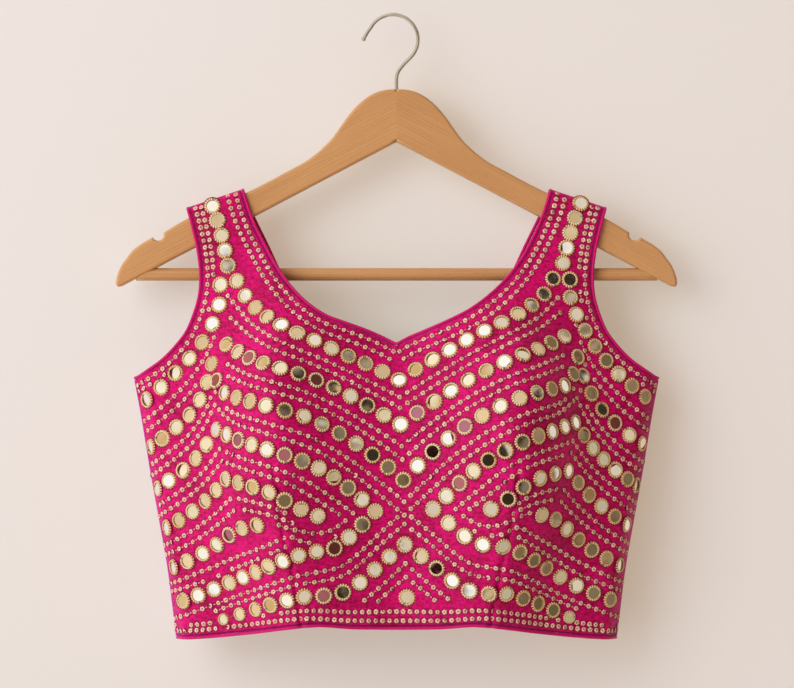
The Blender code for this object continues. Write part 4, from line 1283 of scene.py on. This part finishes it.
def make_arm(sign, name, material):
    """Slab with rounded edges: the outline is drawn in by o and stood at y, for pairs (o, y)
    round a quarter circle at each face; the joint's edge keeps its place.  The two faces and
    the joint are shaded flat."""
    loop = arm_loop()
    t = np.roll(loop, -1, axis=0) - np.roll(loop, 1, axis=0)
    t /= np.linalg.norm(t, axis=1, keepdims=True)
    inward = np.stack([t[:, 1], -t[:, 0]], axis=-1)
    inward[0], inward[-1] = (0.0, -1.0), (0.0, 1.0)
    turn = np.radians(np.linspace(0.0, 90.0, 6))
    draw = WOOD_EDGE * (1 - np.sin(turn))
    stand = WOOD_THICK / 2 - WOOD_EDGE * (1 - np.cos(turn))
    sides = [(o, -y) for o, y in zip(draw, stand)] + [(o, y) for o, y in zip(draw[::-1], stand[::-1])]
    rings = []
    for o, y in sides:
        flat = loop + inward * o
        rings.append(np.stack([sign * flat[:, 0], np.full(len(flat), y), flat[:, 1]], axis=-1))
    n = len(loop)
    faces = ring_quads(len(rings), n).tolist() + end_faces(len(rings), n)
    ob = new_mesh(name, np.vstack(rings), faces, [material])
    smooth = np.ones(len(faces), bool)
    smooth[-2:] = False
    smooth[:-2][np.tile(np.arange(n) == n - 1, len(rings) - 1)] = False
    ob.data.polygons.foreach_set("use_smooth", smooth)
    return face_out(ob)


def rod(name, radius, half, material, sides=40, chamfer=0.6):
    """Round bar along x with a small chamfer at each end."""
    x = np.concatenate([[-half, -half + chamfer], np.linspace(-half + 8, half - 8, 20),
                        [half - chamfer, half]])
    r = np.full(len(x), radius)
    r[[0, -1]] = radius - chamfer
    a = np.linspace(0.0, 2 * math.pi, sides, endpoint=False)
    verts = np.stack([np.repeat(x, sides), np.outer(r, np.cos(a)).ravel(),
                      BAR_Z + np.outer(r, np.sin(a)).ravel()], axis=-1)
    faces = ring_quads(len(x), sides).tolist() + end_faces(len(x), sides)
    return face_out(new_mesh(name, verts, faces, [material]))


def hook_line():
    """Wire centre line: flared tip, round bend, reverse curve and straight shank."""
    angle = np.radians(np.linspace(150.0, -46.0, 30))
    bend = np.stack([BEND_X + BEND_R * np.cos(angle), WIRE_R - BEND_R + BEND_R * np.sin(angle)], axis=-1)
    tip = [(-25.4, -16.8), (-24.2, -14.7), (-22.4, -11.7)]
    tail = [(6.9, -36.8), (3.9, -40.2), (1.6, -43.6), (0.3, -47.2), (0.0, -52.0), (0.0, -57.0),
            (0.0, -66.0)]
    flat = along(np.vstack([tip, bend, tail]), np.linspace(0.0, 1.0, 130))
    return np.stack([flat[:, 0], np.zeros(len(flat)), flat[:, 1]], axis=-1)


def ball(name, centre, radius, material, sides=20):
    """Ball of 11 rings of latitude, (sin a cos b, sin a sin b, cos a), with a fan at each pole."""
    lat = np.linspace(0.0, math.pi, 13)[1:-1]
    lon = np.linspace(0.0, 2 * math.pi, sides, endpoint=False)
    rings = np.stack([np.outer(np.sin(lat), np.cos(lon)), np.outer(np.sin(lat), np.sin(lon)),
                      np.outer(np.cos(lat), np.ones(sides))], axis=-1).reshape(-1, 3)
    verts = np.vstack([[0, 0, 1.0], rings, [0, 0, -1.0]]) * radius + np.array(centre)
    faces = (ring_quads(len(lat), sides)[:, ::-1] + 1).tolist()
    last = len(verts) - 1
    for j in range(sides):
        on = (j + 1) % sides
        faces += [[0, 1 + j, 1 + on], [last, last - sides + on, last - sides + j]]
    return face_out(new_mesh(name, verts, faces, [material], None, True, np.zeros((len(verts), 2))))


arm_left = make_arm(-1, "arm_left", beech_left)
arm_right = make_arm(1, "arm_right", beech_right)
bar = rod("bar", BAR_R, BAR_HALF, beech_bar)
hook_wire = tube("hook_wire", hook_line(), WIRE_R, 16, False, steel)
hook_ball = ball("hook_tip", (-25.9, 0.0, -17.8), BALL_R, steel)

# ================================================================ what each piece stands for
def stands_for(piece, slot, *nodes):
    """Ties a finished piece to the frame and to the solids that it takes the place of."""
    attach(piece, "root")
    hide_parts(*nodes)


for piece, node_name in ((front_cloth, "front_panel"), (back_left, "back_panel_left"),
                         (back_right, "back_panel_right")):
    stands_for(piece, "blouse_silk", node_name)
for node_name, piece in pipings.items():
    stands_for(piece, "piping_silk", node_name)
for piece, node_name in ((arm_left, "hanger_arm_left"), (arm_right, "hanger_arm_right"),
                         (bar, "hanger_bar")):
    stands_for(piece, "beech_wood", node_name)
for piece in (hook_wire, hook_ball):
    stands_for(piece, "hook_steel", "hanger_hook")
for work, node_names in ((front_work, ("front_panel",)),
                         (back_work, ("back_panel_left", "back_panel_right"))):
    for piece in work:
        stands_for(piece, "mirror_glass" if piece.name.endswith("_mirrors") else "gold_work", *node_names)


# ================================================================ stage, light and camera
def flat_sheet(name, corners, material):
    """A flat four-cornered sheet of the stage, corners in metres."""
    ob = new_mesh(name, np.array(corners) * 1000.0, [[0, 1, 2, 3]], [material], None, False)
    return ob


def one_sided_material(name, colour):
    """Matt wall that shows only from its front, so the blouse can be seen from behind.  It also glows
    faintly, painted light that lifts the shadows on it.
    """
    # the emission is painted light: the wall glows to lift the shadows cast on it
    mat, tree, shader = new_material(name, base_color=colour, roughness=0.95, specular_ior_level=0.1,
                                     emission_color=(0.80, 0.70, 0.52, 1.0), emission_strength=0.42)
    clear = node(tree, "ShaderNodeBsdfTransparent")
    side = node(tree, "ShaderNodeNewGeometry")
    mix = fed(tree, node(tree, "ShaderNodeMixShader"), {
        0: side.outputs["Backfacing"], 1: shader.outputs["BSDF"], 2: clear.outputs["BSDF"]})
    tree.links.new(mix.outputs["Shader"], tree.nodes["Material Output"].inputs["Surface"])
    return mat


WALL_Y = 0.034
WALL_HALF, WALL_HEIGHT, FLOOR_DEEP = 3.0, 2.0, 2.0
flat_sheet("wall", [(x, WALL_Y, z) for x, z in ((-WALL_HALF, -WALL_HEIGHT), (WALL_HALF, -WALL_HEIGHT),
                                                (WALL_HALF, WALL_HEIGHT), (-WALL_HALF, WALL_HEIGHT))],
           one_sided_material("pale wall", (0.525, 0.525, 0.47, 1.0)))
floor = flat_sheet("floor", [(x, y, -WALL_HEIGHT) for x, y in (
    (-WALL_HALF, -FLOOR_DEEP), (WALL_HALF, -FLOOR_DEEP), (WALL_HALF, WALL_Y), (-WALL_HALF, WALL_Y))],
    new_material("pale floor", base_color=(0.80, 0.77, 0.76, 1.0), roughness=0.9)[0])
floor.visible_glossy = False


def area_light(name, place, aim, width, height, power, colour):
    """Rectangular lamp at a place, in metres, turned towards its aim."""
    data = bpy.data.lights.new(name, "AREA")
    data.shape = "RECTANGLE"
    data.size, data.size_y = width, height
    data.energy = power
    data.color = colour
    ob = bpy.data.objects.new(name, data)
    bpy.context.scene.collection.objects.link(ob)
    ob.location = place
    ob.rotation_euler = (Vector(aim) - Vector(place)).to_track_quat("-Z", "Y").to_euler()
    return ob


BLOUSE_MIDDLE = (0.0, 0.0, -0.3)
window = area_light("window", (-1.25, -1.55, 0.35), BLOUSE_MIDDLE, 1.3, 1.3, 18.0, (0.93, 0.96, 1.07))
window.visible_glossy = False
area_light("behind", (0.5, 1.8, 0.5), BLOUSE_MIDDLE, 2.0, 1.6, 14.0, (1.0, 0.97, 0.95))


def room():
    """Soft room, pale and bright to the left, dim and warm to the right.  What shines sees it
    run from golden cream at the far left over white and cream to a mix of dark and cream panes
    right of the middle, and brown at the far right, with a dark doorway left of the middle.
    The zones' borders waver, and lie further right high up."""
    world = bpy.data.worlds.new("room")
    bpy.context.scene.world = world
    world.use_nodes = True
    tree = world.node_tree
    way = node(tree, "ShaderNodeTexCoord").outputs["Generated"]
    parts = node(tree, "ShaderNodeSeparateXYZ", {"Vector": way}).outputs
    soft = ranged(tree, noise(tree, way, 7.0, 2.0), 0.38, 0.62)
    pattern = noise(tree, way, 7.0, 0.0)
    panes = ranged(tree, pattern, 0.54, 0.56)
    few = ranged(tree, pattern, 0.60, 0.62)
    shades = ranged(tree, noise(tree, way, 11.0, 0.0), 0.50, 0.54)
    shift = maths(tree, "MULTIPLY_ADD", noise(tree, way, 3.0, 0.0), 0.4, -0.2)
    high = ranged(tree, parts["Z"], 0.12, 0.32)
    x = weighted(tree, (parts["X"], 1.0), (shift, 1.0), (high, -0.22))
    seen = blend_colours(tree, soft, (0.70, 0.53, 0.30, 1), (0.98, 0.88, 0.68, 1))
    middle = blend_colours(tree, soft, (0.62, 0.52, 0.39, 1), (0.78, 0.69, 0.55, 1))
    dark = blend_colours(tree, shades, (0.03, 0.022, 0.014, 1), (0.20, 0.16, 0.10, 1))
    split = blend_colours(tree, panes, dark, (0.66, 0.56, 0.43, 1))
    doorway = blend_colours(tree, few, dark, (0.66, 0.56, 0.43, 1))
    right = blend_colours(tree, soft, (0.12, 0.085, 0.042, 1), (0.30, 0.20, 0.11, 1))
    right = blend_colours(tree, few, right, (0.50, 0.42, 0.29, 1))
    across = maths(tree, "POWER", maths(tree, "ADD", parts["X"], 0.32), 2.0)
    up = maths(tree, "POWER", maths(tree, "ADD", parts["Z"], 0.14), 2.0)
    from_door = weighted(tree, (across, 1.0), (up, 1.0), (shift, 0.25))
    door = ranged(tree, from_door, 0.062, 0.055)
    for colour, start, end in (((0.96, 0.94, 0.89, 1), -0.74, -0.70), (middle, -0.34, -0.26),
                               (split, 0.18, 0.22), (right, 0.58, 0.62)):
        seen = blend_colours(tree, ranged(tree, x, start, end), seen, colour)
    seen = blend_colours(tree, door, seen, doorway)
    around = blend_colours(tree, ranged(tree, parts["X"], -0.65, 0.3), (1.34, 1.31, 1.75, 1),
                           (0.22, 0.085, 0.004, 1))
    rays = node(tree, "ShaderNodeLightPath").outputs
    colour = blend_colours(tree, rays["Is Glossy Ray"], around, seen)
    colour = blend_colours(tree, rays["Is Camera Ray"], colour, (0.76, 0.71, 0.67, 1))
    tree.links.new(colour, tree.nodes["Background"].inputs["Color"])


room()

WIDTH_AT_HANGER = 0.6298            # metres in view at the hanger's plane
SENSOR_MM = 36.0
CAMERA_PLACE = (0.0004, -2.4, -0.2598)
camera_data = bpy.data.cameras.new("camera")
camera_data.lens = SENSOR_MM * -CAMERA_PLACE[1] / WIDTH_AT_HANGER
camera_data.clip_start, camera_data.clip_end = 0.05, 20.0
camera = bpy.data.objects.new("camera", camera_data)
camera.location = CAMERA_PLACE
camera.rotation_euler = (math.pi / 2, 0.0, 0.0)
bpy.context.scene.collection.objects.link(camera)
bpy.context.scene.camera = camera
bpy.context.scene.view_settings.view_transform = "Standard"
